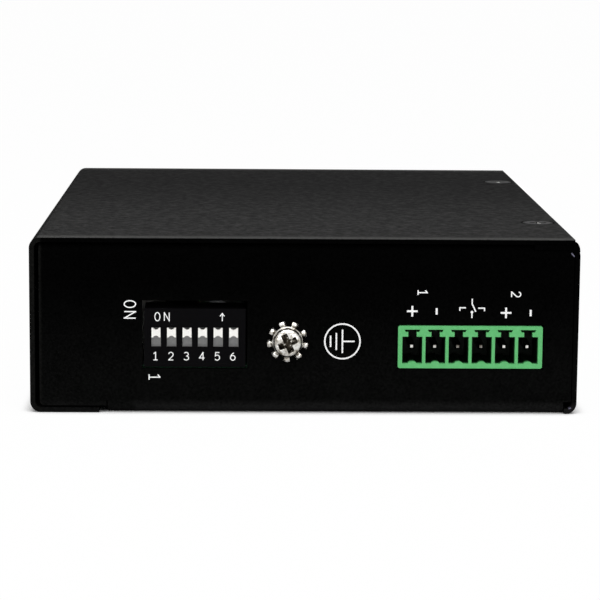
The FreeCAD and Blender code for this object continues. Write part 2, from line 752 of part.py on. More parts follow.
# ---------------------------------------------------------------- circuit board
def make_circuit_board():
    """Board along the tray's floor, with its screw holes and the header's pin holes."""
    body = new_body("circuit_board")
    outline = sketch(body, "board_outline", "XY_Plane", "board_top - board_sheet / 2")
    rectangle(outline, BOARD_FRONT, BOARD_RAIL, f"-{BOARD_END}", BOARD_END)
    for x, y in BOARD_HOLES:
        circle(outline, x, y, HOLE)
    for number in range(1, POLES + 1):
        half = "(pin_side / 2 + hole_gap)"
        leg = f"({HEADER_FACE} + header_depth + pin_side / 2)"
        rectangle(outline, f"{pole_x(number)} - {half}", f"{pole_x(number)} + {half}",
                  f"{leg} - {half}", f"{leg} + {half}")
    pad(body, outline, "board_sheet")
    return body


def make_board_standoffs():
    """Hexagon standoffs pressed into the tray's floor."""
    post = hexagon("standoff_post", "standoff_corner", f"{BOARD_BACK} - base_sheet")
    bore = hexagon("standoff_bore", BORE_CORNER, "2 * board_top", z="-board_top / 2")
    master = cut("standoff", post, bore)
    low_post = hexagon("low_post", "standoff_corner", f"{BOARD_BACK} - {TRAY_LAP} - base_sheet")
    low_bore = hexagon("low_bore", BORE_CORNER, "2 * board_top", z="-board_top / 2")
    low_master = cut("low_standoff", low_post, low_bore)
    (port_x, port_y), *others = BOARD_HOLES
    on_step = copies("step_standoffs", low_master, [(port_x, port_y, f"{TRAY_LAP} + base_sheet")])
    on_floor = copies("floor_standoffs", master, [(x, y, "base_sheet") for x, y in others])
    group = doc.addObject("Part::Compound", "board_standoffs")
    group.Links = [on_step, on_floor]
    return group


# ---------------------------------------------------------------- modular jacks
def place_jack(item, number):
    place(item, JACK_FACE, jack_y(number), "board_top")


def make_jack_shield(number):
    """Drawn sheet shell around a jack, open below and windowed in front."""
    body = new_body(f"jack_shield_{number}")
    outer = sketch(body, f"shield_outer_{number}", "YZ_Plane")
    half = "jack_width / 2"
    rectangle(outer, f"-{half}", half, "0", "jack_height")
    pad(body, outer, "jack_depth", "One side")
    hollow = sketch(body, f"shield_hollow_{number}", "YZ_Plane", "jack_depth / 2")
    rectangle(hollow, f"-{half} + shield_sheet", f"{half} - shield_sheet",
              "-shield_sheet", "jack_height - shield_sheet")
    pocket(body, hollow, "jack_depth - 2 * shield_sheet")
    face = sketch(body, f"shield_window_{number}", "YZ_Plane")
    rectangle(face, f"-{half} + shield_lip", f"{half} - shield_lip",
              "shield_lip / 2", "jack_height - shield_lip")
    pocket(body, face, "4 * shield_sheet")
    place_jack(body, number)
    return body


def make_jack_housing(number):
    """Moulded jack insert: plug cavity with stepped latch keyway and two lamp windows."""
    body = new_body(f"jack_housing_{number}")
    half = "(jack_width / 2 - shield_sheet)"
    outer = sketch(body, f"housing_outer_{number}", "YZ_Plane", "jack_depth / 2")
    rectangle(outer, f"-{half}", half, "0", "jack_height - shield_sheet")
    pad(body, outer, "jack_depth - 2 * shield_sheet")

    cavity = sketch(body, f"plug_cavity_{number}", "YZ_Plane")
    wide, mid, slim = "plug_width / 2", "latch_width / 2", "tongue_width / 2"
    step, floor = "plug_floor - latch_drop", "plug_floor - tongue_drop"
    polygon(cavity, [
        (f"-{wide}", "plug_floor"), (f"-{mid}", "plug_floor"), (f"-{mid}", step), (f"-{slim}", step),
        (f"-{slim}", floor), (slim, floor), (slim, step), (mid, step),
        (mid, "plug_floor"), (wide, "plug_floor"), (wide, "plug_floor + plug_height"),
        (f"-{wide}", "plug_floor + plug_height"),
    ])
    pocket(body, cavity, "2 * plug_depth")

    lamps = sketch(body, f"lamp_windows_{number}", "YZ_Plane")
    for low, high in ((f"-{wide}", f"-{wide} + lamp_width"), (f"{wide} - lamp_width", wide)):
        rectangle(lamps, low, high, "jack_height - shield_lip - lamp_height", "jack_height - shield_lip")
    pocket(body, lamps, "2 * lamp_depth")
    place_jack(body, number)
    return body


def make_jack_contacts():
    """Eight sloping contact springs in the roof of each jack's cavity."""
    spring = new_body("contact_spring")
    profile = sketch(spring, "contact_profile", "XZ_Plane")
    roof = "(plug_floor + plug_height)"
    polygon(profile, [
        ("contact_start", roof), ("contact_start", f"{roof} - contact_sheet"),
        ("contact_end", f"{roof} - contact_drop"),
        ("contact_end", f"{roof} - contact_drop + contact_sheet"),
        ("contact_start + 3 * contact_sheet", roof),
    ])
    pad(spring, profile, "contact_width")
    groups = []
    for number in range(1, JACKS + 1):
        spots = [
            (JACK_FACE, f"{jack_y(number)} + {row - 3.5} * contact_pitch", "board_top")
            for row in range(8)]
        groups.append(copies(f"jack_contacts_{number}", spring, spots))
    return groups


def make_jack_lamps():
    """Lamp lenses in the two windows of every jack."""
    lens = block("lamp_lens", "shield_sheet", "lamp_depth", "-lamp_width / 2", "lamp_width / 2",
                 "jack_height - shield_lip - lamp_height", "jack_height - shield_lip")
    spots = []
    for number in range(1, JACKS + 1):
        for side in ("-", "+"):
            spots.append((JACK_FACE, f"{jack_y(number)} {side} (plug_width - lamp_width) / 2", "board_top"))
    return copies("jack_lamps", lens, spots)


# ---------------------------------------------------------------- slide switch
def make_switch_body():
    """Six-way slide switch block: a slotted front skin over a channel for each slide."""
    body = new_body("switch_body")
    half = "switch_width / 2"
    outer = sketch(body, "switch_outline", "XZ_Plane", f"-({SWITCH_FACE}) - switch_depth / 2")
    rectangle(outer, f"switch_x - {half}", f"switch_x + {half}", "board_top", "board_top + switch_height")
    pad(body, outer, "switch_depth")

    slots = sketch(body, "switch_slots", "XZ_Plane", f"-({SWITCH_FACE})")
    low = "(board_top + slot_floor)"
    for number in range(1, POLES + 1):
        middle = slide_x(number)
        rectangle(slots, f"{middle} - slot_width / 2", f"{middle} + slot_width / 2",
                  low, f"{low} + slot_height")
    pocket(body, slots, "2 * (switch_skin + slide_gap)")

    channel_depth = "(slide_plate + 2 * slide_gap)"
    channels = sketch(body, "switch_channels", "XZ_Plane",
                      f"-({SWITCH_FACE}) - switch_skin - {channel_depth} / 2")
    half_channel = "(slot_width / 2 + slide_shoulder)"
    past = "(slide_travel + channel_end)"
    for number in range(1, POLES + 1):
        middle = slide_x(number)
        rectangle(channels, f"{middle} - {half_channel}", f"{middle} + {half_channel}",
                  f"{low} - {past}", f"{low} + slot_height + {past}")
    pocket(body, channels, channel_depth)
    return body


def make_slide(number):
    """One slide: a plate behind the slot and a knob hollowed at both ends, set to the top."""
    body = new_body(f"switch_slide_{number}")
    middle = slide_x(number)
    top = "(board_top + slot_floor + slot_height - slide_gap)"
    knob_low = f"({top} - (slot_height - slide_travel - 2 * slide_gap))"
    plate_front = f"({SWITCH_FACE} + switch_skin + slide_gap)"
    half_plate = "(slot_width / 2 + slide_shoulder - slide_gap)"
    plate = sketch(body, f"slide_plate_{number}", "XZ_Plane", f"-{plate_front} - slide_plate / 2")
    rectangle(plate, f"{middle} - {half_plate}", f"{middle} + {half_plate}",
              f"{knob_low} - slide_travel - channel_end / 2", f"{top} + slide_travel + channel_end / 2")
    pad(body, plate, "slide_plate")

    knob_face = f"({SWITCH_FACE} - knob_proud)"
    knob = sketch(body, f"slide_knob_{number}", "XZ_Plane", f"-{plate_front}")
    half_knob = "(slot_width / 2 - slide_gap)"
    steps = [2 * step / NOTCH_STEPS - 1 for step in range(NOTCH_STEPS + 1)]
    low_hollow = [
        (f"{middle} + {t} * notch_half", f"{knob_low} + {1 - t * t} * notch_depth") for t in steps]
    top_hollow = [
        (f"{middle} - {t} * notch_half", f"{top} - {1 - t * t} * notch_depth") for t in steps]
    polygon(knob, [
        (f"{middle} - {half_knob}", knob_low), *low_hollow, (f"{middle} + {half_knob}", knob_low),
        (f"{middle} + {half_knob}", top), *top_hollow, (f"{middle} - {half_knob}", top)])
    pad(body, knob, f"{plate_front} - {knob_face}", "One side")
    return body


# ---------------------------------------------------------------- power header
def make_power_header():
    """Moulded header shroud: six keyed poles with T-shaped keyways and a rib in each floor."""
    body = new_body("power_header")
    half = f"({HEADER_WIDTH} / 2)"
    outer = sketch(body, "header_outline", "XZ_Plane", f"-({HEADER_FACE}) - header_depth / 2")
    rectangle(outer, f"header_x - {half}", f"header_x + {half}", "board_top", "board_top + header_height")
    pad(body, outer, "header_depth")
    fillet(body, "header_end_wall / 2", [
        (f"header_x {sign} {half}", f"{HEADER_FACE} + header_depth / 2", f"board_top + {level}")
        for sign in "-+" for level in ("0", "header_height")])

    poles = sketch(body, "header_poles", "XZ_Plane", f"-({HEADER_FACE})")
    floor = "(board_top + header_floor)"
    roof = "(board_top + header_height - header_roof)"
    wide, gap = "pole_width / 2", "tab_gap / 2"
    key, key_in = "key_width / 2", "(key_width / 2 - key_slant)"
    for number in range(1, POLES + 1):
        x = pole_x(number)
        polygon(poles, [
            (f"{x} - {wide}", floor), (f"{x} + {wide}", floor),
            (f"{x} + {wide}", f"{roof} - key_height - tab_height"),
            (f"{x} + {gap}", f"{roof} - key_height - tab_height"),
            (f"{x} + {gap}", f"{roof} - key_height"),
            (f"{x} + {key_in}", f"{roof} - key_height"), (f"{x} + {key}", roof),
            (f"{x} - {key}", roof), (f"{x} - {key_in}", f"{roof} - key_height"),
            (f"{x} - {gap}", f"{roof} - key_height"),
            (f"{x} - {gap}", f"{roof} - key_height - tab_height"),
            (f"{x} - {wide}", f"{roof} - key_height - tab_height"),
        ])
    pocket(body, poles, "2 * pole_depth")

    ribs = sketch(body, "header_ribs", "XZ_Plane", f"-({HEADER_FACE}) - pole_depth / 2")
    for number in range(1, POLES + 1):
        x = pole_x(number)
        low = f"{floor} - header_floor / 4"
        polygon(ribs, [
            (f"{x} - bump_width / 2", low), (f"{x} + bump_width / 2", low),
            (f"{x} + bump_width / 2", floor),
            (f"{x} + bump_width / 3", f"{floor} + 0.7 * bump_height"),
            (f"{x} + bump_width / 8", f"{floor} + bump_height"),
            (f"{x} - bump_width / 8", f"{floor} + bump_height"),
            (f"{x} - bump_width / 3", f"{floor} + 0.7 * bump_height"), (f"{x} - bump_width / 2", floor),
        ])
    pad(body, ribs, "pole_depth")

    holes = sketch(body, "header_pin_holes", "XZ_Plane", f"-({HEADER_FACE}) - header_depth")
    middle = "board_top + pin_height"
    for number in range(1, POLES + 1):
        x = pole_x(number)
        rectangle(holes, f"{x} - pin_side / 2", f"{x} + pin_side / 2",
                  f"{middle} - pin_side / 2", f"{middle} + pin_side / 2")
    pocket(body, holes, "header_depth")
    return body


def make_header_pins():
    """Six square pins with pointed ends: through the shroud's back wall, then down through the board."""
    pin = new_body("header_pin")
    half = "pin_side / 2"
    back = "(header_depth + pin_side - pin_recess - pin_point)"
    along = sketch(pin, "pin_along", "XZ_Plane", f"-{back} / 2")
    rectangle(along, f"-{half}", half, f"-{half}", half)
    pad(pin, along, back)
    point = sketch(pin, "pin_point_base", "XZ_Plane")
    rectangle(point, f"-{half}", half, f"-{half}", half)
    taper = pad(pin, point, "pin_point", "One side")
    taper.setExpression("TaperAngle", bound("-pin_slope"))
    down = sketch(pin, "pin_down", "XZ_Plane", f"-{back} + {half}")
    rectangle(down, f"-{half}", half, "-pin_height - board_sheet - pin_tail", "0")
    pad(pin, down, "pin_side")
    front = f"{HEADER_FACE} + pin_recess + pin_point"
    return copies("header_pins", pin, [
        (pole_x(number), front, "board_top + pin_height") for number in range(1, POLES + 1)])


# ---------------------------------------------------------------- status lamps
def make_status_lamps():
    """Three lamps held at the port wall by a moulded block on the board."""
    lamps = []
    back = f"({PORT} - status_proud + status_body)"
    for number in range(1, STATUS_LAMPS + 1):
        barrel = cylinder(f"lamp_barrel_{number}", "status_radius", "status_body - status_radius / 2")
        barrel.Placement.Rotation = FreeCAD.Rotation(FreeCAD.Vector(0, 1, 0), -90)
        place(barrel, back, status_y(number), STATUS_Z)
        dome = doc.addObject("Part::Cone", f"lamp_dome_{number}")
        dome.setExpression("Radius1", "Dims.status_radius")
        dome.setExpression("Radius2", "Dims.status_radius / 2")
        dome.setExpression("Height", "Dims.status_radius / 2")
        dome.Placement.Rotation = FreeCAD.Rotation(FreeCAD.Vector(0, 1, 0), -90)
        place(dome, f"{back} - (status_body - status_radius / 2)", status_y(number), STATUS_Z)
        lamps.append(fuse(f"status_lamp_{number}", [barrel, dome]))

    body = new_body("lamp_holder")
    outline = sketch(body, "holder_outline", "YZ_Plane", f"{BOARD_FRONT} + holder_side / 2")
    rectangle(outline, f"{status_y(1)} - holder_margin", f"{status_y(STATUS_LAMPS)} + holder_margin",
              "board_top", "board_top + holder_height")
    for number in range(1, STATUS_LAMPS + 1):
        circle(outline, status_y(number), STATUS_Z, "status_radius + thread_gap")
    pad(body, outline, "holder_side")
    return lamps + [body]


# ---------------------------------------------------------------- parts on the board
def standing_block(name, x, y, width, length, height, base="board_top"):
    """A component body centred at x, y on the board."""
    return block(name, f"{x} - {width} / 2", f"{x} + {width} / 2",
                 f"{y} - {length} / 2", f"{y} + {length} / 2", base, f"{base} + {height}")


def make_board_parts():
    nodes = []
    magnetics_x = f"({JACK_FACE} + jack_depth + magnetics_gap + magnetics_width / 2)"
    for number in range(1, JACKS + 1):
        nodes.append(standing_block(f"line_transformer_{number}", magnetics_x, jack_y(number),
                                    "magnetics_width", "magnetics_length", "magnetics_height"))
    nodes.append(standing_block("switch_chip", "chip_x", "chip_y", "chip_side", "chip_side", "chip_height"))
    pad_base = "(board_top + chip_height)"
    nodes.append(standing_block("thermal_pad", "chip_x", "chip_y", "sink_side", "sink_side",
                                "pad_sheet", pad_base))
    nodes.append(make_heat_sink())
    nodes.append(standing_block("alarm_relay", "relay_x", f"({POWER} + relay_inset)", "relay_width",
                                "relay_length", "relay_height"))
    nodes.append(make_power_coil())
    nodes.append(make_capacitors())
    nodes.append(standing_block("clock_crystal", "crystal_x", "crystal_y", "crystal_width",
                                "crystal_length", "crystal_height"))
    return nodes


def make_heat_sink():
    """Extruded finned heat sink on the switch chip."""
    body = new_body("heat_sink")
    base = "(board_top + chip_height + pad_sheet)"
    section = sketch(body, "sink_section", "XZ_Plane", "-chip_y")
    rectangle(section, "chip_x - sink_side / 2", "chip_x + sink_side / 2", base, f"{base} + sink_base")
    pad(body, section, "sink_side")
    fins = sketch(body, "sink_fins", "XZ_Plane", "-chip_y")
    for number in range(FINS):
        middle = f"(chip_x + {number - (FINS - 1) / 2} * fin_pitch)"
        rectangle(fins, f"{middle} - fin_sheet / 2", f"{middle} + fin_sheet / 2",
                  f"{base} + sink_base / 2", f"{base} + sink_height")
    pad(body, fins, "sink_side")
    return body


def make_power_coil():
    """Shielded power inductor: square foot with a round core."""
    middle = f"({POWER} + coil_inset)"
    foot = standing_block("coil_foot", "coil_x", middle, "coil_side", "coil_side", "coil_height / 5")
    core = cylinder("coil_core", "coil_side / 2 - coil_height / 10", "coil_height", "coil_x", middle,
                    "board_top")
    return fuse("power_coil", [foot, core])


def make_capacitors():
    """Two can capacitors on square feet, midway between the slide switch and the first transformer."""
    middle = f"(({SWITCH_FACE} + switch_depth + {JACK_FIRST} - magnetics_length / 2) / 2)"
    cans = []
    for number in (1, 2):
        x = f"(can_x + {number - 1} * can_pitch)"
        foot = standing_block(f"can_foot_{number}", x, middle, "can_foot", "can_foot", "can_height / 6")
        can = cylinder(f"can_shell_{number}", "can_radius", "can_height", x, middle, "board_top")
        cans.append(fuse(f"can_{number}", [foot, can]))
    group = doc.addObject("Part::Compound", "power_capacitors")
    group.Links = cans
    return group


# ---------------------------------------------------------------- DIN rail clip
def make_rail_clip():
    """Folded clip on the rail wall: a fixed hook and a deep hook that holds the spring."""
    body = new_body("rail_clip")
    face = f"({RAIL} + clip_sheet)"
    slot = f"({RAIL} + clip_sheet + clip_slot)"
    back = f"({RAIL} + 2 * clip_sheet + clip_slot)"
    top_slot = "(rail_width / 2 + clip_play)"
    low_slot = "(rail_width / 2 + clip_spring_room)"
    section = sketch(body, "clip_section", "XY_Plane", CLIP_Z)
    polygon(section, [
        (RAIL, f"-{low_slot} - clip_sheet"), (back, f"-{low_slot} - clip_sheet"),
        (back, f"-{low_slot} + clip_spring_lip"), (slot, f"-{low_slot} + clip_spring_lip"),
        (slot, f"-{low_slot}"), (face, f"-{low_slot}"), (face, top_slot), (slot, top_slot),
        (slot, f"{top_slot} - clip_lip"), (back, f"{top_slot} - clip_lip"),
        (back, f"{top_slot} + clip_sheet"), (RAIL, f"{top_slot} + clip_sheet"),
    ])
    pad(body, section, "clip_width")
    fillet(body, "clip_sheet", [
        (back, f"-{low_slot} - clip_sheet", CLIP_Z), (back, f"{top_slot} + clip_sheet", CLIP_Z)])
    for index, side in enumerate("-+", start=1):
        sink = body.newObject("PartDesign::SubtractiveCone", f"clip_sink_{index}")
        sink.setExpression("Radius1", bound("flush_head / 2 + sink_gap - clip_sheet"))
        sink.setExpression("Radius2", bound("flush_head / 2 + sink_gap"))
        sink.setExpression("Height", "Dims.clip_sheet")
        sink.Placement.Rotation = FreeCAD.Rotation(FreeCAD.Vector(0, 1, 0), 90)
        place(sink, RAIL, f"{side}{CLIP_SCREW_Y}", CLIP_Z)
        doc.recompute()
    holes = sketch(body, "clip_holes", "YZ_Plane", RAIL)
    for side in ("-", ""):
        circle(holes, f"{side}{CLIP_SCREW_Y}", CLIP_Z, HOLE)
    pocket(body, holes, "4 * clip_sheet")
    return body


def make_clip_spring():
    """Bowed leaf in the deep hook; its crown presses on the edge of the rail."""
    body = new_body("clip_spring")
    bow = sketch(body, "spring_bow", "YZ_Plane", f"{RAIL} + clip_sheet + clip_slot / 2")
    seat = "(-rail_width / 2 - clip_spring_room + thread_gap)"
    under, over = [], []
    for step in range(SPRING_STEPS + 1):
        along = 2 * step / SPRING_STEPS - 1
        z = f"{CLIP_Z} + {along} * spring_span / 2"
        rise = f"{seat} + {1 - along * along} * spring_rise"
        under.append((rise, z))
        over.append((f"{rise} + spring_sheet", z))
    polygon(bow, under + over[::-1])
    pad(body, bow, "clip_slot - 2 * hole_gap")
    return body


# ---------------------------------------------------------------- whole switch
nodes = [make_base_tray(), make_top_cover()]
nodes += make_fasteners()
nodes += [make_ground_washer(), make_circuit_board(), make_board_standoffs()]
nodes += [make_jack_shield(number) for number in range(1, JACKS + 1)]
nodes += [make_jack_housing(number) for number in range(1, JACKS + 1)]
nodes += make_jack_contacts()
nodes += [make_jack_lamps(), make_switch_body()]
nodes += [make_slide(number) for number in range(1, POLES + 1)]
nodes += [make_power_header(), make_header_pins()]
nodes += make_status_lamps()
nodes += make_board_parts()
nodes += [make_rail_clip(), make_clip_spring()]
doc.recompute()

for item in doc.Objects:
    if "Invalid" in item.State or "Error" in item.State:
        raise RuntimeError(f"{item.Label} failed: {item.State}")
    if item.TypeId in ("PartDesign::Pocket", "PartDesign::SubtractiveCone"):
        if item.Shape.Volume >= item.BaseFeature.Shape.Volume:
            raise RuntimeError(f"{item.Label} cuts nothing")
for node in nodes:
    if node.Shape.isNull() or not node.Shape.isValid():
        raise RuntimeError(f"{node.Label} has no valid shape")

os.makedirs("parts", exist_ok=True)
for node in nodes:
    node.Shape.exportStep(f"parts/{node.Label}.step")
    print(f"{node.Label}: {len(node.Shape.Solids)} solids, {node.Shape.Volume:.2f} mm3")
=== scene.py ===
import math

import bmesh
import bpy
from mathutils import Matrix, Vector


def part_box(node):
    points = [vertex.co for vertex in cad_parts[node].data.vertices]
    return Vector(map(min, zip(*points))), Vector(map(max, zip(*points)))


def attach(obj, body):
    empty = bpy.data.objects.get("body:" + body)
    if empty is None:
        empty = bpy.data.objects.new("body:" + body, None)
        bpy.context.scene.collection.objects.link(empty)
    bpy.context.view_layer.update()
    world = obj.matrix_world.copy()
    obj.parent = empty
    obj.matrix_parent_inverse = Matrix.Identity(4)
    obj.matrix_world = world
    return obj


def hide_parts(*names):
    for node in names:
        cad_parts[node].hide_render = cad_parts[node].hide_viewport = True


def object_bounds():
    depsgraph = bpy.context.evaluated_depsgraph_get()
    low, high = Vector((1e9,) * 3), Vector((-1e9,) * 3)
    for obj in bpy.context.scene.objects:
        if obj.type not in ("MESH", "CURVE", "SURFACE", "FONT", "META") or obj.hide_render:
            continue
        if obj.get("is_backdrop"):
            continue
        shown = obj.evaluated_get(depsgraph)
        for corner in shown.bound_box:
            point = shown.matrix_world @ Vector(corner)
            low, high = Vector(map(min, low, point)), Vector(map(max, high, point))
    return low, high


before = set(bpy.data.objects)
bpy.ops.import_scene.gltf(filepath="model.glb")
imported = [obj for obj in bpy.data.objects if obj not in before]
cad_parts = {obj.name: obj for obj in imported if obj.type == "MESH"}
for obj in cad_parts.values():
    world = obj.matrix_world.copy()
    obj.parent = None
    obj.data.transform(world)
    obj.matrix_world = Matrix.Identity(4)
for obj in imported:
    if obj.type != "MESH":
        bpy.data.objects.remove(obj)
cad_low, cad_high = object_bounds()
MM = 0.001


# ---------------------------------------------------------------- folded case
# Tray and cover, both folded from 0.8 mm steel sheet. They are powder coated in black after folding,
# with a fine grain. Light is painted into the coat: paler low down, on the lower bends and on the port wall,
# a painted sheen on the top, painted highlights on the top's end edges and painted glints, as of bare steel, at two
# corners.

class Mark:
    """A value on its way through a material: sums add Math nodes, and node() adds any other."""

    def __init__(self, tree, socket=None):
        self.tree = tree
        self.socket = socket

    def node(self, kind, settings=None, inputs=None, out=0):
        made = self.tree.nodes.new("ShaderNode" + kind)
        for name, value in (settings or {}).items():
            if name == "stops":
                ramp = made.color_ramp
                for place, colour in value[2:]:
                    ramp.elements.new(place)
                for element, (place, colour) in zip(ramp.elements, value):
                    element.position = place
                    element.color = (*colour, 1)
            else:
                setattr(made, name, value)
        for name, value in (inputs or {}).items():
            self.feed(made.inputs[name], value)
        return Mark(self.tree, made.outputs[out])

    def feed(self, socket, value):
        if isinstance(value, Mark):
            self.tree.links.new(value.socket, socket)
        elif isinstance(value, (tuple, list)) and len(value) == 3 and socket.type == "RGBA":
            socket.default_value = (*value, 1)
        else:
            socket.default_value = value

    def math(self, operation, *values):
        return self.node("Math", {"operation": operation}, dict(enumerate(values)))

    def __add__(self, other):
        return self.math("ADD", self, other)

    def __radd__(self, other):
        return self.math("ADD", other, self)

    def __sub__(self, other):
        return self.math("SUBTRACT", self, other)

    def __rsub__(self, other):
        return self.math("SUBTRACT", other, self)

    def __mul__(self, other):
        return self.math("MULTIPLY", self, other)

    def __rmul__(self, other):
        return self.math("MULTIPLY", other, self)

    def __abs__(self):
        return self.math("ABSOLUTE", self)

    def rise(self, low, high):
        """0 below low and 1 above high, with a smooth step between; high may be the lower one."""
        return self.node("MapRange", {"interpolation_type": "SMOOTHSTEP"},
                         {"Value": self, "From Min": low, "From Max": high})

    def blend(self, first, second):
        """first where this mask is 0, second where it is 1."""
        return self.node("Mix", {"data_type": "RGBA"}, {0: self, 6: first, 7: second}, out=2)

    def ramp(self, *stops):
        return self.node("ValToRGB", {"stops": stops}, {"Fac": self})


class Finish:
    """A material with its shader; constants go straight on the shader's sockets."""

    def __init__(self, name, **fixed):
        self.material = bpy.data.materials.new(name)
        self.material.use_nodes = True
        self.tree = self.material.node_tree
        self.shader = self.tree.nodes["Principled BSDF"]
        self.start = Mark(self.tree)
        self.place = self.start.node("TexCoord", out=3)
        for socket, value in fixed.items():
            self.start.feed(self.shader.inputs[socket.replace("_", " ")], value)

    def along(self, axis):
        """The place on the piece along X, Y or Z, in metres."""
        return self.start.node("SeparateXYZ", {}, {"Vector": self.place}, out="XYZ".index(axis))

    def away(self, x, y):
        """How far the place is, in plan, from an upright axis at x and y or its twin at -y."""
        flat = self.start.node("CombineXYZ", {}, {0: self.along("X"), 1: abs(self.along("Y"))})
        return self.start.node("VectorMath", {"operation": "DISTANCE"}, {0: flat, 1: (x, y, 0)}, out=1)

    def noise(self, size, detail=2.0, rough=0.5, drawn=(1, 1, 1)):
        """Noise with cells about size metres across, drawn out by a factor along each axis."""
        where = self.place
        if drawn != (1, 1, 1):
            where = self.start.node("Mapping", {}, {"Vector": self.place, "Scale": tuple(1 / d for d in drawn)})
        return self.start.node("TexNoise", {}, {"Vector": where, "Scale": 1 / size, "Detail": detail,
                                                "Roughness": rough})

    def colour(self, value):
        self.start.feed(self.shader.inputs["Base Color"], value)

    def roughness(self, value):
        self.start.feed(self.shader.inputs["Roughness"], value)

    def metallic(self, value):
        self.start.feed(self.shader.inputs["Metallic"], value)

    def bump(self, height, depth, strength=1.0):
        made = self.start.node("Bump", {}, {"Height": height, "Distance": depth, "Strength": strength})
        self.start.feed(self.shader.inputs["Normal"], made)

    def on(self, *nodes):
        for name in nodes:
            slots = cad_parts[name].data.materials
            for index in range(len(slots)):
                slots[index] = self.material
            if not len(slots):
                slots.append(self.material)


def grey(level):
    return (level, level, level)


tray_low, tray_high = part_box("base_tray")
top, panel, far_panel, rail_wall = cad_high.z, tray_low.y, tray_high.y, tray_high.x

powder = Finish("black powder coat", Specular_IOR_Level=0.0045)
grain = powder.noise(0.45 * MM, detail=3, rough=0.7)
cloud = powder.noise(4 * MM, detail=4)
mottle = grain * 0.82 + cloud * 0.18
sideways, lengthwise, height = powder.along("X"), powder.along("Y"), powder.along("Z")
off_centre = abs(lengthwise)

# painted light from the bench: panels and walls a little paler toward it
painted_bench_light = height.rise(0.8 * top, 0.1 * top)
coat = painted_bench_light.blend(mottle.ramp((0.35, grey(0.0002)), (0.7, grey(0.0012))),
                      mottle.ramp((0.35, (0.0011, 0.0012, 0.0011)), (0.7, (0.0045, 0.0046, 0.0045))))

# painted highlight on the lower bends, where they catch the light, but less where the floor is joggled behind its lap
BEND_TOP, BEND_FULL = 2.4 * MM, 0.9 * MM
JOGGLE_START, JOGGLE_END = -28.6 * MM, -27.2 * MM
past_joggle = sideways.rise(JOGGLE_START, JOGGLE_END)
bend_painted_highlight = height.rise(BEND_TOP, BEND_FULL) * (0.3 + past_joggle * 0.7)
coat = bend_painted_highlight.blend(coat, mottle.ramp((0.35, grey(0.005)), (0.7, grey(0.014))))

# port wall, painted paler than the panels for the light it catches
port_wall_painted_light = sideways.rise(0.986 * tray_low.x, 0.998 * tray_low.x)
coat = port_wall_painted_light.blend(coat, mottle.ramp((0.35, (0.003, 0.003, 0.0028)), (0.7, (0.008, 0.008, 0.0075))))

# top, with a painted sheen far paler than the panels that brightens toward the power end, and a painted highlight along
# both end edges
on_top = height.rise(top - 0.12 * MM, top - 0.02 * MM)
painted_sheen_toward_power_end = lengthwise.rise(0.6 * far_panel, -0.85 * far_panel)
speckle = powder.noise(1.3 * MM, detail=3, rough=0.7) * 0.6 + grain * 0.4
top_painted_sheen = speckle.ramp((0.36, grey(0.0015)), (0.5, grey(0.008)), (0.64, (0.019, 0.019, 0.0185)))
top_painted_sheen_bright = speckle.ramp((0.36, grey(0.008)), (0.5, grey(0.021)), (0.64, (0.042, 0.042, 0.041)))
coat = on_top.blend(coat, painted_sheen_toward_power_end.blend(top_painted_sheen, top_painted_sheen_bright))
# painted highlight along the top's end edges, broken up by the grain
HIGHLIGHT_START, HIGHLIGHT_FULL = 3.5 * MM, 0.6 * MM
painted_edge_highlight = on_top * off_centre.rise(far_panel - HIGHLIGHT_START, far_panel - HIGHLIGHT_FULL) * grain.rise(0.1, 0.6)
coat = painted_edge_highlight.blend(coat, (0.068, 0.068, 0.066))

# dark shadow in the countersinks around the two top screws
FLUSH_HEAD = 2.6 * MM
screws_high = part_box("cover_screws")[1]
screw_x, screw_y = screws_high.x - FLUSH_HEAD, screws_high.y - FLUSH_HEAD
from_screw = powder.away(screw_x, screw_y)
past_head = from_screw.rise(0.97 * FLUSH_HEAD, FLUSH_HEAD)
sunk_rim = past_head * from_screw.rise(1.2 * FLUSH_HEAD, 1.1 * FLUSH_HEAD) * on_top
coat = sunk_rim.blend(coat, grey(0.0008))

# painted glints, as of bare steel, short strokes at the rail wall's two corners: each is turned by its slant
GLINTS = (  # in from the rail wall, up from the bench, slant in radians, half length, half width
    (1.23 * MM, 26.52 * MM, -0.85, 0.5 * MM, 0.14 * MM),
    (1.1 * MM, 0.95 * MM, 0.3, 0.26 * MM, 0.17 * MM),
)
GLINT_START, GLINT_FULL = 1.2 * MM, 0.9 * MM
painted_glint = 0
for inset, lift, slant, length, width in GLINTS:
    out, up = sideways - (rail_wall - inset), height - lift
    along_stroke = abs(out * math.cos(slant) + up * math.sin(slant)).rise(length, 0.5 * length)
    over_stroke = abs(up * math.cos(slant) - out * math.sin(slant)).rise(width, 0.5 * width)
    painted_glint = painted_glint + along_stroke * over_stroke
painted_glint = painted_glint * off_centre.rise(far_panel - GLINT_START, far_panel - GLINT_FULL)
powder.colour(painted_glint.blend(coat, (0.13, 0.125, 0.17)))
powder.metallic(painted_glint * 0.6)
powder.roughness(0.55 + grain * 0.3 - painted_glint * 0.3)
powder.bump(grain + cloud * 0.2, 0.03 * MM, 0.8)
powder.on("base_tray", "top_cover")


def piece_of(name, mesh, material, body, smooth=True):
    """Puts a finished mesh into the scene as a piece that rides on a body."""
    made = bpy.data.objects.new(name, mesh)
    bpy.context.scene.collection.objects.link(made)
    mesh.materials.append(material)
    for face in mesh.polygons:
        face.use_smooth = smooth
    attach(made, body)
    return made


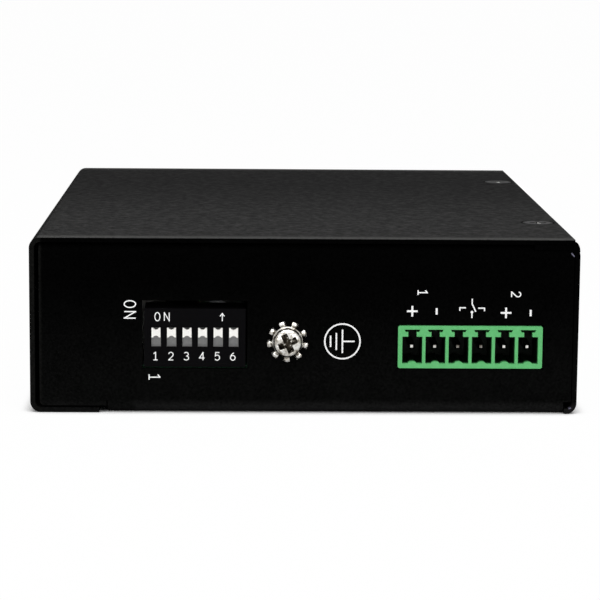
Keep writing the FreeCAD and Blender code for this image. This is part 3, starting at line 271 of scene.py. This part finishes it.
# An ear of the panel's sheet laps the rail wall's end under the cover, at each end of the case. Its
# outline is in millimetres, in from the rail wall and down from the top; its setback is a share of the sheet.
EAR = ((1.5, 0.8), (0.88, 0.36), (0.52, 0.5), (0.26, 0.88), (0.07, 1.4), (0.0, 2.1), (0.7, 2.3), (1.5, 1.9))
SHEET, EAR_SETBACK, EAR_ROUND = 0.8 * MM, 0.12, 0.07 * MM
for name, outside in (("corner_ear_near", panel), ("corner_ear_far", far_panel)):
    inward = math.copysign(SHEET, -outside)
    ear = bmesh.new()
    outer, inner = ([ear.verts.new((rail_wall - a * MM, outside + depth * inward, top - b * MM)) for a, b in EAR]
                    for depth in (EAR_SETBACK, 1 + EAR_SETBACK))
    ear.faces.new(outer)
    ear.faces.new(inner)
    for corner in range(len(EAR)):
        ear.faces.new((outer[corner - 1], outer[corner], inner[corner], inner[corner - 1]))
    bmesh.ops.recalc_face_normals(ear, faces=ear.faces)
    bmesh.ops.bevel(ear, geom=list(ear.edges), offset=EAR_ROUND, segments=2, affect="EDGES")
    ear_mesh = bpy.data.meshes.new(name)
    ear.to_mesh(ear_mesh)
    piece_of(name, ear_mesh, powder.material, "case", smooth=False)


# ---------------------------------------------------------------- case screws
# Flush cross-recess screws of black-plated steel, two in the top, two in the return flange and two
# through the rail clip. In the top ones the driver has bitten the plating off in the recess, in patches that also stand
# as painted glints, and a painted shadow darkens the rim of each head.

blacked = Finish("black plating", Specular_IOR_Level=0.012)
smear = blacked.noise(0.6 * MM, detail=3)
level = blacked.along("Z")
in_top = level.rise(top - 1.25 * MM, top - 1.15 * MM)
# bare metal where the driver bit, in patches that also stand as painted glints
bitten_and_glint = level.rise(top - 0.06 * MM, top - 0.25 * MM) * in_top * smear.rise(0.42, 0.55)
# painted shadow of the countersink on the rim of each top head
head_rim_painted_shadow = blacked.away(screw_x, screw_y).rise(0.8 * FLUSH_HEAD, 0.92 * FLUSH_HEAD) * in_top
plating = smear.ramp((0.3, grey(0.012)), (0.75, grey(0.05)))
blacked.colour(bitten_and_glint.blend(head_rim_painted_shadow.blend(plating, grey(0.0015)), (0.6, 0.6, 0.58)))
blacked.metallic(bitten_and_glint)
blacked.roughness(0.32 + smear * 0.3)
blacked.bump(smear, 0.01 * MM, 0.4)
blacked.on("cover_screws", "clip_screws")


# ---------------------------------------------------------------- earth terminal
# A nickel-plated pan screw and a tooth washer, turned on a lathe and stamped. The washer's teeth are
# twisted, so that they bite through the paint and earth the case.

nickel = Finish("bright nickel", Metallic=1.0)
scuff = nickel.noise(0.4 * MM, detail=4, rough=0.65)
painted_reflection = nickel.noise(1.1 * MM, detail=2, rough=0.6)
scuffs_and_reflections = scuff * 0.4 + painted_reflection * 0.6
# fine scuffs, and large dark and bright patches that are painted reflections
nickel.colour(scuffs_and_reflections.ramp((0.38, (0.16, 0.14, 0.11)), (0.46, (0.5, 0.47, 0.42)), (0.58, (0.84, 0.83, 0.8))))
nickel.roughness(0.1 + scuff * 0.2)
nickel.bump(scuff, 0.012 * MM, 0.5)

HEAD_RINGS, HEAD_SPOKES = 56, 160
RECESS_TURN = math.radians(24)
RECESS_REACH, RECESS_ARM, RECESS_DEPTH = 1.68 * MM, 1.1 * MM, 1.4 * MM
ARM_WALL, ARM_RAMP = 0.12 * MM, 0.5 * MM
WEB_REACH, WEB_WALL = 0.85 * MM, 0.2 * MM
SHANK_RADIUS = 1.5 * MM
RIM_SHARE, DOME_SPREAD, DOME_EDGE = 0.4, 3.2, 0.6


def soft_step(value):
    value = min(1.0, max(0.0, value))
    return value * value * (3 - 2 * value)


def recess_depth(u, v):
    """How deep the cross recess is, u along one arm and v across it."""
    deepest = 0.0
    for along, over in ((abs(u), abs(v)), (abs(v), abs(u))):
        wall = soft_step((RECESS_ARM / 2 - over) / ARM_WALL)
        ramp = soft_step((RECESS_REACH - along) / ARM_RAMP)
        deepest = max(deepest, wall * ramp)
    web = soft_step((WEB_REACH - math.hypot(u, v)) / WEB_WALL)
    return RECESS_DEPTH * max(deepest, web)


head_low, head_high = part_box("ground_screw")
earth_middle = Vector(((head_low.x + head_high.x) / 2, 0, (head_low.z + head_high.z) / 2))
head_radius = (head_high.x - head_low.x) / 2
washer_low, washer_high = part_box("ground_washer")
head_height = washer_low.y - head_low.y
rim = RIM_SHARE * head_height
points, faces = [], []
for ring in range(HEAD_RINGS + 1):
    radius = head_radius * ring / HEAD_RINGS
    dome = rim + (head_height - rim) * max(0.0, 1 - (radius / head_radius) ** DOME_SPREAD) ** DOME_EDGE
    for spoke in range(HEAD_SPOKES):
        angle = math.tau * spoke / HEAD_SPOKES
        u, v = radius * math.cos(angle), radius * math.sin(angle)
        crown = dome - recess_depth(u, v)
        x = u * math.cos(RECESS_TURN) - v * math.sin(RECESS_TURN)
        z = u * math.sin(RECESS_TURN) + v * math.cos(RECESS_TURN)
        points.append((earth_middle.x + x, washer_low.y - crown, earth_middle.z + z))
for spoke in range(HEAD_SPOKES):
    angle = math.tau * spoke / HEAD_SPOKES + RECESS_TURN
    points.append((earth_middle.x + head_radius * math.cos(angle), washer_low.y,
                   earth_middle.z + head_radius * math.sin(angle)))
for ring in range(HEAD_RINGS + 1):
    for spoke in range(HEAD_SPOKES):
        after = (spoke + 1) % HEAD_SPOKES
        a, b = ring * HEAD_SPOKES, (ring + 1) * HEAD_SPOKES
        faces.append((a + spoke, a + after, b + after, b + spoke))
faces.append(tuple(range((HEAD_RINGS + 1) * HEAD_SPOKES, (HEAD_RINGS + 2) * HEAD_SPOKES)))
head = bpy.data.meshes.new("earth_screw_head")
head.from_pydata(points, [], faces)
shaped = bmesh.new()
shaped.from_mesh(head)
bmesh.ops.remove_doubles(shaped, verts=shaped.verts, dist=0.002 * MM)
shank = bmesh.ops.create_cone(shaped, cap_ends=True, segments=40, radius1=SHANK_RADIUS, radius2=SHANK_RADIUS,
                              depth=head_high.y - washer_low.y)["verts"]
bmesh.ops.rotate(shaped, verts=shank, matrix=Matrix.Rotation(math.pi / 2, 3, "X"))
bmesh.ops.translate(shaped, verts=shank, vec=(earth_middle.x, (head_high.y + washer_low.y) / 2, earth_middle.z))
bmesh.ops.recalc_face_normals(shaped, faces=shaped.faces)
shaped.to_mesh(head)
# painted shade: the recess is coloured dark, with painted glints in patches
recess_painted_shade = Finish("nickel in the recess, painted shade and glints", Metallic=1.0)
sheen = recess_painted_shade.noise(0.5 * MM, detail=2, rough=0.6)
recess_painted_shade.colour(sheen.ramp((0.45, (0.015, 0.012, 0.009)), (0.56, (0.07, 0.06, 0.045)), (0.64, (0.75, 0.72, 0.66))))
recess_painted_shade.roughness(0.15 + sheen * 0.2)
recess_painted_shade.bump(sheen, 0.03 * MM, 0.6)
earth_screw = piece_of("earth_screw", head, nickel.material, "case")
head.materials.append(recess_painted_shade.material)
for face in head.polygons:
    centre = face.center - Vector((earth_middle.x, 0, earth_middle.z))
    u = centre.x * math.cos(RECESS_TURN) + centre.z * math.sin(RECESS_TURN)
    v = centre.z * math.cos(RECESS_TURN) - centre.x * math.sin(RECESS_TURN)
    if centre.y < washer_low.y and recess_depth(u, v) > 0.2 * RECESS_DEPTH:
        face.material_index = 1
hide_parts("ground_screw")

TEETH, FIRST_TOOTH = 9, 0.35
TOOTH_TWIST = math.radians(13)
TOOTH_WIDTH, TOOTH_SHEET, TOOTH_ROUND = 1.25 * MM, 0.3 * MM, 0.1 * MM
ROOT_SHARE = 0.8
RING_SHARE, RING_SPOKES, RING_BORE = 0.75, 90, 1.6 * MM
ring_radius = RING_SHARE * (washer_high.x - washer_low.x) / 2
tooth_tip = (washer_high.z - washer_low.z) / 2
thick = washer_high.y - washer_low.y
washer = bmesh.new()
rings = []
turns = [math.tau * spoke / RING_SPOKES for spoke in range(RING_SPOKES)]
for radius, share in ((RING_BORE, 0.1), (RING_BORE, 0.9), (ring_radius, 0.9), (ring_radius, 0.1)):
    rings.append([washer.verts.new((radius * math.cos(turn), washer_low.y + share * thick, radius * math.sin(turn)))
                  for turn in turns])
for first, second in zip(rings, rings[1:] + rings[:1]):
    for spoke in range(RING_SPOKES):
        after = (spoke + 1) % RING_SPOKES
        washer.faces.new((first[spoke], first[after], second[after], second[spoke]))
for tooth in range(TEETH):
    made = bmesh.ops.create_cube(washer, size=1)["verts"]
    for vert in made:
        out = vert.co.x > 0
        reach = tooth_tip if out else ring_radius
        width = TOOTH_WIDTH if out else ROOT_SHARE * TOOTH_WIDTH
        vert.co = Matrix.Rotation(TOOTH_TWIST, 3, "X") @ Vector((reach, vert.co.y * TOOTH_SHEET, vert.co.z * width))
    edges = {edge for vert in made for edge in vert.link_edges}
    bevelled = bmesh.ops.bevel(washer, geom=list(edges), offset=TOOTH_ROUND, segments=3, affect="EDGES")
    tooth_verts = {vert for face in bevelled["faces"] for vert in face.verts} | {v for v in made if v.is_valid}
    turned = Matrix.Rotation(math.tau * (tooth + FIRST_TOOTH) / TEETH, 3, "Y")
    bmesh.ops.rotate(washer, verts=list(tooth_verts), matrix=turned)
    bmesh.ops.translate(washer, verts=list(tooth_verts), vec=(0, (washer_low.y + washer_high.y) / 2, 0))
bmesh.ops.translate(washer, verts=washer.verts, vec=earth_middle)
bmesh.ops.recalc_face_normals(washer, faces=washer.faces)
plate = bpy.data.meshes.new("earth_washer")
washer.to_mesh(plate)
earth_washer = piece_of("earth_washer", plate, nickel.material, "case")
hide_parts("ground_washer")


# ---------------------------------------------------------------- nuts and board screws
# Clinch nuts pressed into the sheets, standoffs pressed into the floor and the board's hexagon screws,
# all zinc plated with a faint cloudy bloom.

zinc = Finish("zinc plate", Metallic=1.0)
bloom = zinc.noise(1.2 * MM, detail=4)
zinc.colour(bloom.ramp((0.3, (0.42, 0.43, 0.45)), (0.7, (0.66, 0.66, 0.64))))
zinc.roughness(0.28 + bloom * 0.2)
zinc.bump(bloom, 0.01 * MM, 0.3)
zinc.on("clinch_nuts", "board_screws", "board_standoffs", "clock_crystal")


# ---------------------------------------------------------------- circuit board
# Glass-fibre board that everything electrical sits on. It has green solder mask over copper tracks,
# and the weave shows faintly.

mask = Finish("green solder mask", Coat_Weight=0.4, Coat_Roughness=0.1)
weave = mask.noise(0.4 * MM, detail=2, drawn=(3, 1, 1))
tracks = mask.start.node("TexBrick", {"offset": 0.3}, {
    "Vector": mask.place, "Scale": 1 / (1.6 * MM), "Mortar Size": 0.06,
    "Color1": (1, 1, 1), "Color2": grey(0.4), "Mortar": (0, 0, 0)})
mask.colour((tracks * 0.7 + weave * 0.3).blend((0.008, 0.06, 0.024), (0.02, 0.14, 0.055)))
mask.roughness(0.32 + weave * 0.2)
mask.bump(tracks, 0.03 * MM, 0.5)
mask.on("circuit_board")


# ---------------------------------------------------------------- network jacks
# Five jacks side by side: a nickel-plated drawn shield, a black moulding with eight gold-flashed
# springs, and two tinted lenses for the lamps behind them.

shield = Finish("drawn shield", Metallic=1.0)
draw = shield.noise(0.3 * MM, detail=3, drawn=(6, 1, 1))
shield.colour(draw.ramp((0.3, (0.5, 0.5, 0.48)), (0.7, (0.7, 0.7, 0.67))))
shield.roughness(0.22 + draw * 0.2)
shield.bump(draw, 0.006 * MM, 0.4)
shield.on(*["jack_shield_%d" % n for n in range(1, 6)])

moulding = Finish("black moulding")
pit = moulding.noise(0.25 * MM, detail=2)
moulding.colour(pit.blend((0.012, 0.012, 0.013), (0.022, 0.022, 0.024)))
moulding.roughness(0.3 + pit * 0.25)
moulding.bump(pit, 0.01 * MM, 0.4)
moulding.on("lamp_holder", *["jack_housing_%d" % n for n in range(1, 6)])

gold = Finish("gold flash", Metallic=1.0)
rub = gold.noise(0.2 * MM, detail=3, drawn=(4, 1, 1))
gold.colour(rub.blend((0.75, 0.5, 0.17), (0.9, 0.7, 0.32)))
gold.roughness(0.15 + rub * 0.15)
gold.bump(rub, 0.004 * MM, 0.3)
gold.on(*["jack_contacts_%d" % n for n in range(1, 6)])

lens = Finish("tinted lens", Transmission_Weight=0.5, IOR=1.5)
haze = lens.noise(0.8 * MM, detail=2)
lens.colour(haze.blend((0.5, 0.6, 0.28), (0.72, 0.78, 0.45)))
lens.roughness(0.15 + haze * 0.15)
lens.bump(haze, 0.01 * MM, 0.3)
lens.on("jack_lamps")


# ---------------------------------------------------------------- slide switch
# Six-way slide switch: a black block with a sunk slot for each white slider, with painted shade
# where the slider lies back in its slot. ON, an arrow and the numbers are printed on the block.

block = Finish("black switch plastic", Specular_IOR_Level=0.02)
mould = block.noise(0.3 * MM, detail=2)
block.colour(mould.blend((0.0016, 0.0015, 0.0018), (0.0034, 0.0032, 0.0037)))
block.roughness(0.5 + mould * 0.2)
block.bump(mould, 0.012 * MM, 0.4)
block.on("switch_body")

block_low, block_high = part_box("switch_body")
block_face, block_middle = block_low.y, (block_low + block_high) / 2
ivory = Finish("white slider plastic")
flow = ivory.noise(0.5 * MM, detail=3)
# painted shade: grey where the slider lies back from the block's face
painted_shade_sunk = ivory.along("Y").rise(block_face + 0.1 * MM, block_face + 0.8 * MM)
lit = flow.blend((0.86, 0.85, 0.8), (0.93, 0.92, 0.89))
ivory.colour(painted_shade_sunk.blend(lit, flow.blend(grey(0.32), grey(0.5))))
ivory.roughness(0.35 + flow * 0.2)
ivory.bump(flow, 0.008 * MM, 0.4)
ivory.on(*["switch_slide_%d" % n for n in range(1, 7)])

ink = Finish("white ink")
ink_grain = ink.noise(0.12 * MM, detail=2)
ink.colour(ink_grain.blend(grey(0.86), grey(0.95)))
ink.roughness(0.5 + ink_grain * 0.2)
ink.bump(ink_grain, 0.004 * MM, 0.4)

SHARP_CORNER = math.radians(40)
INK_FLATNESS = 0.08


def cut_at_corners(stroke, reach):
    """Cuts a stroke where it turns sharply and draws both cut ends on by reach, so that corners print full."""
    runs, run = [], [stroke[0]]
    for before, here, after in zip(stroke, stroke[1:], stroke[2:]):
        coming, going = Vector(here) - Vector(before), Vector(after) - Vector(here)
        if coming.angle(going) > SHARP_CORNER:
            runs.append(run + [tuple(Vector(here) + coming.normalized() * reach)])
            run = [tuple(Vector(here) - going.normalized() * reach)]
        else:
            run.append(here)
    return runs + [run + [stroke[-1]]]


def lines(name, strokes, width, face):
    """Inked lines on an upright face: each stroke is a row of (x, z) points, in metres."""
    strokes = [run for stroke in strokes for run in cut_at_corners(stroke, 0.4 * width)]
    curve = bpy.data.curves.new(name, "CURVE")
    curve.dimensions = "3D"
    curve.bevel_depth = width / 2
    curve.bevel_resolution = 3
    curve.use_fill_caps = True
    for stroke in strokes:
        closed = stroke[0] == stroke[-1]
        spots = stroke[:-1] if closed else stroke
        spline = curve.splines.new("POLY")
        spline.points.add(len(spots) - 1)
        for point, (x, z) in zip(spline.points, spots):
            point.co = (x, 0, z, 1)
        spline.use_cyclic_u = closed
    made = bpy.data.objects.new(name, curve)
    bpy.context.scene.collection.objects.link(made)
    made.location = (0, face, 0)
    made.scale = (1, INK_FLATNESS, 1)
    curve.materials.append(ink.material)
    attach(made, "case")


def arc(x, z, wide, high, start, end):
    """Points along part of an ellipse, from one angle to the other in degrees."""
    count = max(2, round(abs(end - start) / 12))
    turns = [math.radians(start + (end - start) * i / count) for i in range(count + 1)]
    spots = [(x + wide * math.cos(t), z + high * math.sin(t)) for t in turns]
    return spots[:-1] + spots[:1] if abs(end - start) == 360 else spots


GLYPHS = {
    "O": [arc(0.3, 0.5, 0.3, 0.5, 0, 360)],
    "N": [[(0.02, 0), (0.02, 1), (0.6, 0), (0.6, 1)]],
    "1": [[(0.08, 0.8), (0.33, 1), (0.33, 0)], [(0.06, 0), (0.58, 0)]],
    "2": [arc(0.3, 0.7, 0.27, 0.3, 165, -35) + [(0.03, 0), (0.6, 0)]],
    "3": [arc(0.28, 0.76, 0.25, 0.24, 150, -90), arc(0.28, 0.26, 0.3, 0.26, 90, -155)],
    "4": [[(0.62, 0.27), (0, 0.27), (0.44, 1), (0.44, 0)]],
    "5": [[(0.55, 1), (0.1, 1), (0.05, 0.52)] + arc(0.27, 0.33, 0.3, 0.33, 125, -150)],
    "6": [arc(0.3, 0.31, 0.28, 0.31, 0, 360), arc(0.68, 0.31, 0.66, 0.69, 180, 112)],
    "+": [[(0.02, 0.5), (0.58, 0.5)], [(0.3, 0.22), (0.3, 0.78)]],
    "-": [[(0.1, 0.5), (0.5, 0.5)]],
    "^": [[(0.3, 0), (0.3, 1)], [(0.02, 0.62), (0.3, 1), (0.58, 0.62)]],
}
GLYPH_WIDTH = 0.62


def inscribe(name, words, height, x, z, face, width, turn=0, spacing=0.95, narrow=1.0):
    """Words in single-stroke letters, centred on x and z; turn is in degrees, clockwise."""
    length = (len(words) - 1) * spacing + GLYPH_WIDTH
    cosine, sine = math.cos(math.radians(turn)), math.sin(math.radians(turn))
    strokes = []
    for index, letter in enumerate(words):
        for stroke in GLYPHS[letter]:
            placed = []
            for along, up in stroke:
                a, b = (along + index * spacing - length / 2) * height * narrow, (up - 0.5) * height
                placed.append((x + a * cosine + b * sine, z - a * sine + b * cosine))
            strokes.append(placed)
    lines(name, strokes, width, face)


SWITCH_LINE, NUMBER_LINE = 0.155 * MM, 0.16 * MM
inscribe("switch_on", "ON", 1.38 * MM, block_middle.x - 5.35 * MM, block_middle.z + 3.475 * MM, block_face,
         SWITCH_LINE, spacing=1.1)
inscribe("switch_arrow", "^", 1.3 * MM, block_middle.x + 4.5 * MM, block_middle.z + 3.425 * MM, block_face, SWITCH_LINE)
for number in range(1, 7):
    slide_low, slide_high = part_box("switch_slide_%d" % number)
    inscribe("switch_number_%d" % number, str(number), 1.28 * MM, (slide_low.x + slide_high.x) / 2 - 0.1 * MM,
             block_middle.z - 3.075 * MM, block_face, NUMBER_LINE, narrow=1.05)


# ---------------------------------------------------------------- power header
# Six-pole header for a plug-in terminal block, moulded in green polyamide. Its poles are deep, and
# painted shade darkens the walls inwards; the tinned square pins stand in the middle of them, with painted shade behind
# their tips.

header_low, header_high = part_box("power_header")
header_face, header_middle = header_low.y, (header_low + header_high) / 2
green = Finish("green polyamide", Specular_IOR_Level=0.2)
melt = green.noise(0.9 * MM, detail=3)
# painted shade, darkening the green with depth into the poles
painted_shade_within = green.along("Y").rise(header_face + 0.15 * MM, header_face + 1.5 * MM)
outside_green = melt.blend((0.09, 0.41, 0.13), (0.135, 0.5, 0.19))
green.colour(painted_shade_within.blend(outside_green, (0.001, 0.007, 0.002)))
green.roughness(0.36 + melt * 0.2)
green.bump(melt, 0.012 * MM, 0.4)
green.on("power_header")

tin = Finish("tin plate", Metallic=1.0)
wipe = tin.noise(0.2 * MM, detail=3)
dull = tin.noise(3.4 * MM, detail=1).rise(0.42, 0.6)
pin_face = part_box("header_pins")[0].y
# painted shade on the pins behind their tips
pin_painted_shade = tin.along("Y").rise(pin_face + 0.01 * MM, pin_face + 0.1 * MM)
tip = dull.blend((0.8, 0.78, 0.75), (0.14, 0.12, 0.1))
tin.colour(pin_painted_shade.blend(tip, wipe.blend(grey(0.002), grey(0.01))))
tin.roughness(0.25 + wipe * 0.2)
tin.bump(wipe, 0.004 * MM, 0.3)
tin.on("header_pins")


# ---------------------------------------------------------------- status lamps
# Three 3 mm lamps in a black holder beside the first jack, cast in clear green and red epoxy.

LAMPS = (
    ("green", (0.05, 0.42, 0.08), (0.09, 0.55, 0.14), ("status_lamp_1", "status_lamp_2")),
    ("red", (0.5, 0.02, 0.015), (0.65, 0.05, 0.03), ("status_lamp_3",)),
)
for name, low, high, lamps in LAMPS:
    epoxy = Finish(name + " lamp epoxy", Transmission_Weight=0.4, IOR=1.52)
    swirl = epoxy.noise(0.9 * MM, detail=2)
    epoxy.colour(swirl.blend(low, high))
    epoxy.roughness(0.1 + swirl * 0.12)
    epoxy.bump(swirl, 0.008 * MM, 0.3)
    epoxy.on(*lamps)


# ---------------------------------------------------------------- board parts
# What stands on the board behind the jacks and sockets: moulded transformers, coil and chip, the
# thermal pad under an anodised heat sink, two aluminium cans and the relay in its dark blue case.

chip = Finish("moulded epoxy")
dust = chip.noise(0.15 * MM, detail=2)
chip.colour(dust.blend((0.016, 0.016, 0.017), (0.034, 0.034, 0.035)))
chip.roughness(0.55 + dust * 0.25)
chip.bump(dust, 0.012 * MM, 0.6)
chip.on("switch_chip", "power_coil", *["line_transformer_%d" % n for n in range(1, 6)])

pad = Finish("filled silicone")
crumb = pad.noise(0.3 * MM, detail=3)
pad.colour(crumb.blend((0.3, 0.32, 0.36), (0.42, 0.44, 0.48)))
pad.roughness(0.75 + crumb * 0.15)
pad.bump(crumb, 0.03 * MM, 0.6)
pad.on("thermal_pad")

anodised = Finish("clear anodised aluminium", Metallic=1.0)
pull = anodised.noise(0.25 * MM, detail=3, drawn=(1, 8, 1))
anodised.colour(pull.blend((0.55, 0.56, 0.58), (0.74, 0.75, 0.77)))
anodised.roughness(0.35 + pull * 0.15)
anodised.bump(pull, 0.006 * MM, 0.4)
anodised.on("heat_sink", "power_capacitors")

relay = Finish("dark blue relay case")
ripple = relay.noise(1.1 * MM, detail=2)
relay.colour(ripple.blend((0.012, 0.026, 0.085), (0.02, 0.04, 0.12)))
relay.roughness(0.25 + ripple * 0.15)
relay.bump(ripple, 0.02 * MM, 0.4)
relay.on("alarm_relay")


# ---------------------------------------------------------------- rail clip
# Clip for a 35 mm rail, bent from nickel-plated steel strip, with a bowed leaf spring in its deep hook.

strip = Finish("nickel-plated strip", Metallic=1.0)
brush = strip.noise(0.25 * MM, detail=4, drawn=(1, 1, 9))
strip.colour(brush.ramp((0.3, (0.46, 0.45, 0.42)), (0.7, (0.66, 0.65, 0.61))))
strip.roughness(0.25 + brush * 0.2)
strip.bump(brush, 0.006 * MM, 0.4)
strip.on("rail_clip", "clip_spring")


# ---------------------------------------------------------------- panel printing
# Signs screen-printed in white on the end panel: ON and the bank's number at the slide switch, the earth
# sign, and over the header the two supplies with their poles and the relay contact between its leads.

PANEL_LINE, CONTACT_LINE, EARTH_LINE = 0.2 * MM, 0.22 * MM, 0.26 * MM
PLUS_LINE, MINUS_LINE = 0.32 * MM, 0.34 * MM
inscribe("panel_on", "ON", 1.86 * MM, block_middle.x - 10.6 * MM, block_middle.z + 4.675 * MM, panel, PANEL_LINE,
         turn=90)
inscribe("panel_bank", "1", 1.78 * MM, block_middle.x - 6.6 * MM, block_middle.z - 6.525 * MM, panel, PANEL_LINE,
         turn=90)

SUPPLIES = (  # number; then in mm from the header's middle: its place, plus and minus across, both up
    (1, -7.95, 9.025, -9.6, -5.6, 5.875),
    (2, 7.4, 8.775, 5.8, 9.85, 5.675),
)
for number, x, z, plus_x, minus_x, pole_z in SUPPLIES:
    up = header_middle.z + pole_z * MM
    inscribe("supply_%d" % number, str(number), 1.5 * MM, header_middle.x + x * MM, header_middle.z + z * MM, panel,
             PANEL_LINE, turn=90)
    inscribe("plus_%d" % number, "+", 3.15 * MM, header_middle.x + plus_x * MM, up, panel, PLUS_LINE, turn=90)
    inscribe("minus_%d" % number, "-", 2.65 * MM, header_middle.x + minus_x * MM, up, panel, MINUS_LINE, turn=90)


def dot(x, z, radius):
    return arc(x, z, radius, radius, 0, 360)


def about(x, z, *strokes):
    """Strokes given in millimetres about a sign's middle, as places on the panel."""
    return [[(x + across * MM, z + up * MM) for across, up in stroke] for stroke in strokes]


contact_x, contact_z = header_middle.x + 0.2 * MM, header_middle.z + 6.425 * MM
lines("contact_sign", about(
    contact_x, contact_z,
    [(-1.0, 0.1), (-2.0, 0.1), (-2.0, -0.4)],
    [(1.0, 0.05), (2.05, 0.05), (2.05, -0.45)],
    [(0, 1.6), (0, 0.75), (0.62, -0.55)],
    [(0, -1.6), (0, -0.75)],
) + [dot(contact_x, contact_z - 0.62 * MM, 0.12 * MM)], CONTACT_LINE, panel)

EARTH_RADIUS = 2.9 * MM
earth_x, earth_z = header_middle.x - 21.0 * MM, header_middle.z + 0.845 * MM
lines("earth_sign", [dot(earth_x, earth_z, EARTH_RADIUS)] + about(
    earth_x, earth_z,
    [(0, 1.95), (0, -1.95)],
    [(-1.0, 1.4), (-1.0, -1.45)],
    [(-1.95, 0.95), (-1.95, -0.95)],
    [(0, 0), (2.0, 0)],
), EARTH_LINE, panel)


# ---------------------------------------------------------------- studio
# A pale floor, which dims close under the case and can be seen through from below, before a white
# backdrop, with one broad lamp overhead and two fills. The camera stands low before the end panel.

FLOOR_SIZE, FLOOR_DROP = 6, 0.02 * MM
bpy.ops.mesh.primitive_plane_add(size=FLOOR_SIZE, location=(0, 0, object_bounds()[0].z - FLOOR_DROP))
floor = bpy.context.object
floor.name = "floor"
floor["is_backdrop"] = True
pale = Finish("pale floor", Roughness=0.9, Specular_IOR_Level=0.0)
paper = pale.noise(40 * MM, detail=3)
pale.colour(paper.blend(grey(0.89), grey(0.91)))
shade = pale.start.node("AmbientOcclusion", {"samples": 12}, {"Distance": 3 * MM}, out=1)
seen = pale.start.node("LightPath", out=0)
glow = pale.start.node("Emission", {}, {"Color": (1, 1, 1), "Strength": 1.0})
plain = Mark(pale.tree, pale.shader.outputs[0])
card = pale.start.node("MixShader", {}, {0: seen * 0.98 * shade.rise(0.4, 0.9), 1: plain, 2: glow})
underneath = pale.start.node("NewGeometry", out=6)
open_below = pale.start.node("MixShader", {}, {0: underneath, 1: card, 2: pale.start.node("BsdfTransparent")})
pale.start.feed(pale.tree.nodes["Material Output"].inputs["Surface"], open_below)
floor.data.materials.append(pale.material)

world = bpy.data.worlds.new("studio")
bpy.context.scene.world = world
world.use_nodes = True
air = Mark(world.node_tree)
sky = world.node_tree.nodes["Background"]
RAYS = ("Is Camera Ray", "Is Glossy Ray", "Is Transmission Ray")
camera_ray, glossy_ray, clear_ray = (air.node("LightPath", out=ray) for ray in RAYS)
backdrop = camera_ray.math("MAXIMUM", camera_ray.math("MAXIMUM", camera_ray, glossy_ray), clear_ray)
air.feed(sky.inputs["Color"], backdrop.blend(grey(0.3), (1, 1, 1)))
sky.inputs["Strength"].default_value = 1.0


def lamp(name, place, aim, size, power):
    light = bpy.data.lights.new(name, "AREA")
    light.shape = "RECTANGLE"
    light.size, light.size_y = size
    light.energy = power
    made = bpy.data.objects.new(name, light)
    bpy.context.scene.collection.objects.link(made)
    made.location = place
    made.rotation_euler = (Vector(aim) - Vector(place)).to_track_quat("-Z", "Y").to_euler()


lamp("overhead", (0, -0.12, 0.5), (0, -0.03, 0), (0.6, 0.4), 1.5)
lamp("left_fill", (-0.5, -0.6, 0.35), (0, 0, 0.015), (0.4, 0.4), 1.9)
lamp("right_fill", (0.5, -0.6, 0.35), (0, 0, 0.015), (0.4, 0.4), 1.9)

camera_data = bpy.data.cameras.new("camera")
camera = bpy.data.objects.new("camera", camera_data)
bpy.context.scene.collection.objects.link(camera)
camera.location = (-9.64 * MM, -430.3 * MM, 78.98 * MM)
turn_right, look_down, tilt = 0.0235, 0.1588, 0.0085
camera.rotation_euler = (Matrix.Rotation(-turn_right, 3, "Z") @ Matrix.Rotation(math.pi / 2 - look_down, 3, "X")
                         @ Matrix.Rotation(tilt, 3, "Z")).to_euler()
camera_data.lens = 139.5
camera_data.sensor_width = 36
camera_data.clip_start = 0.01
camera_data.clip_end = 20
bpy.context.scene.camera = camera
bpy.context.scene.view_settings.view_transform = "Standard"

low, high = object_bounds()
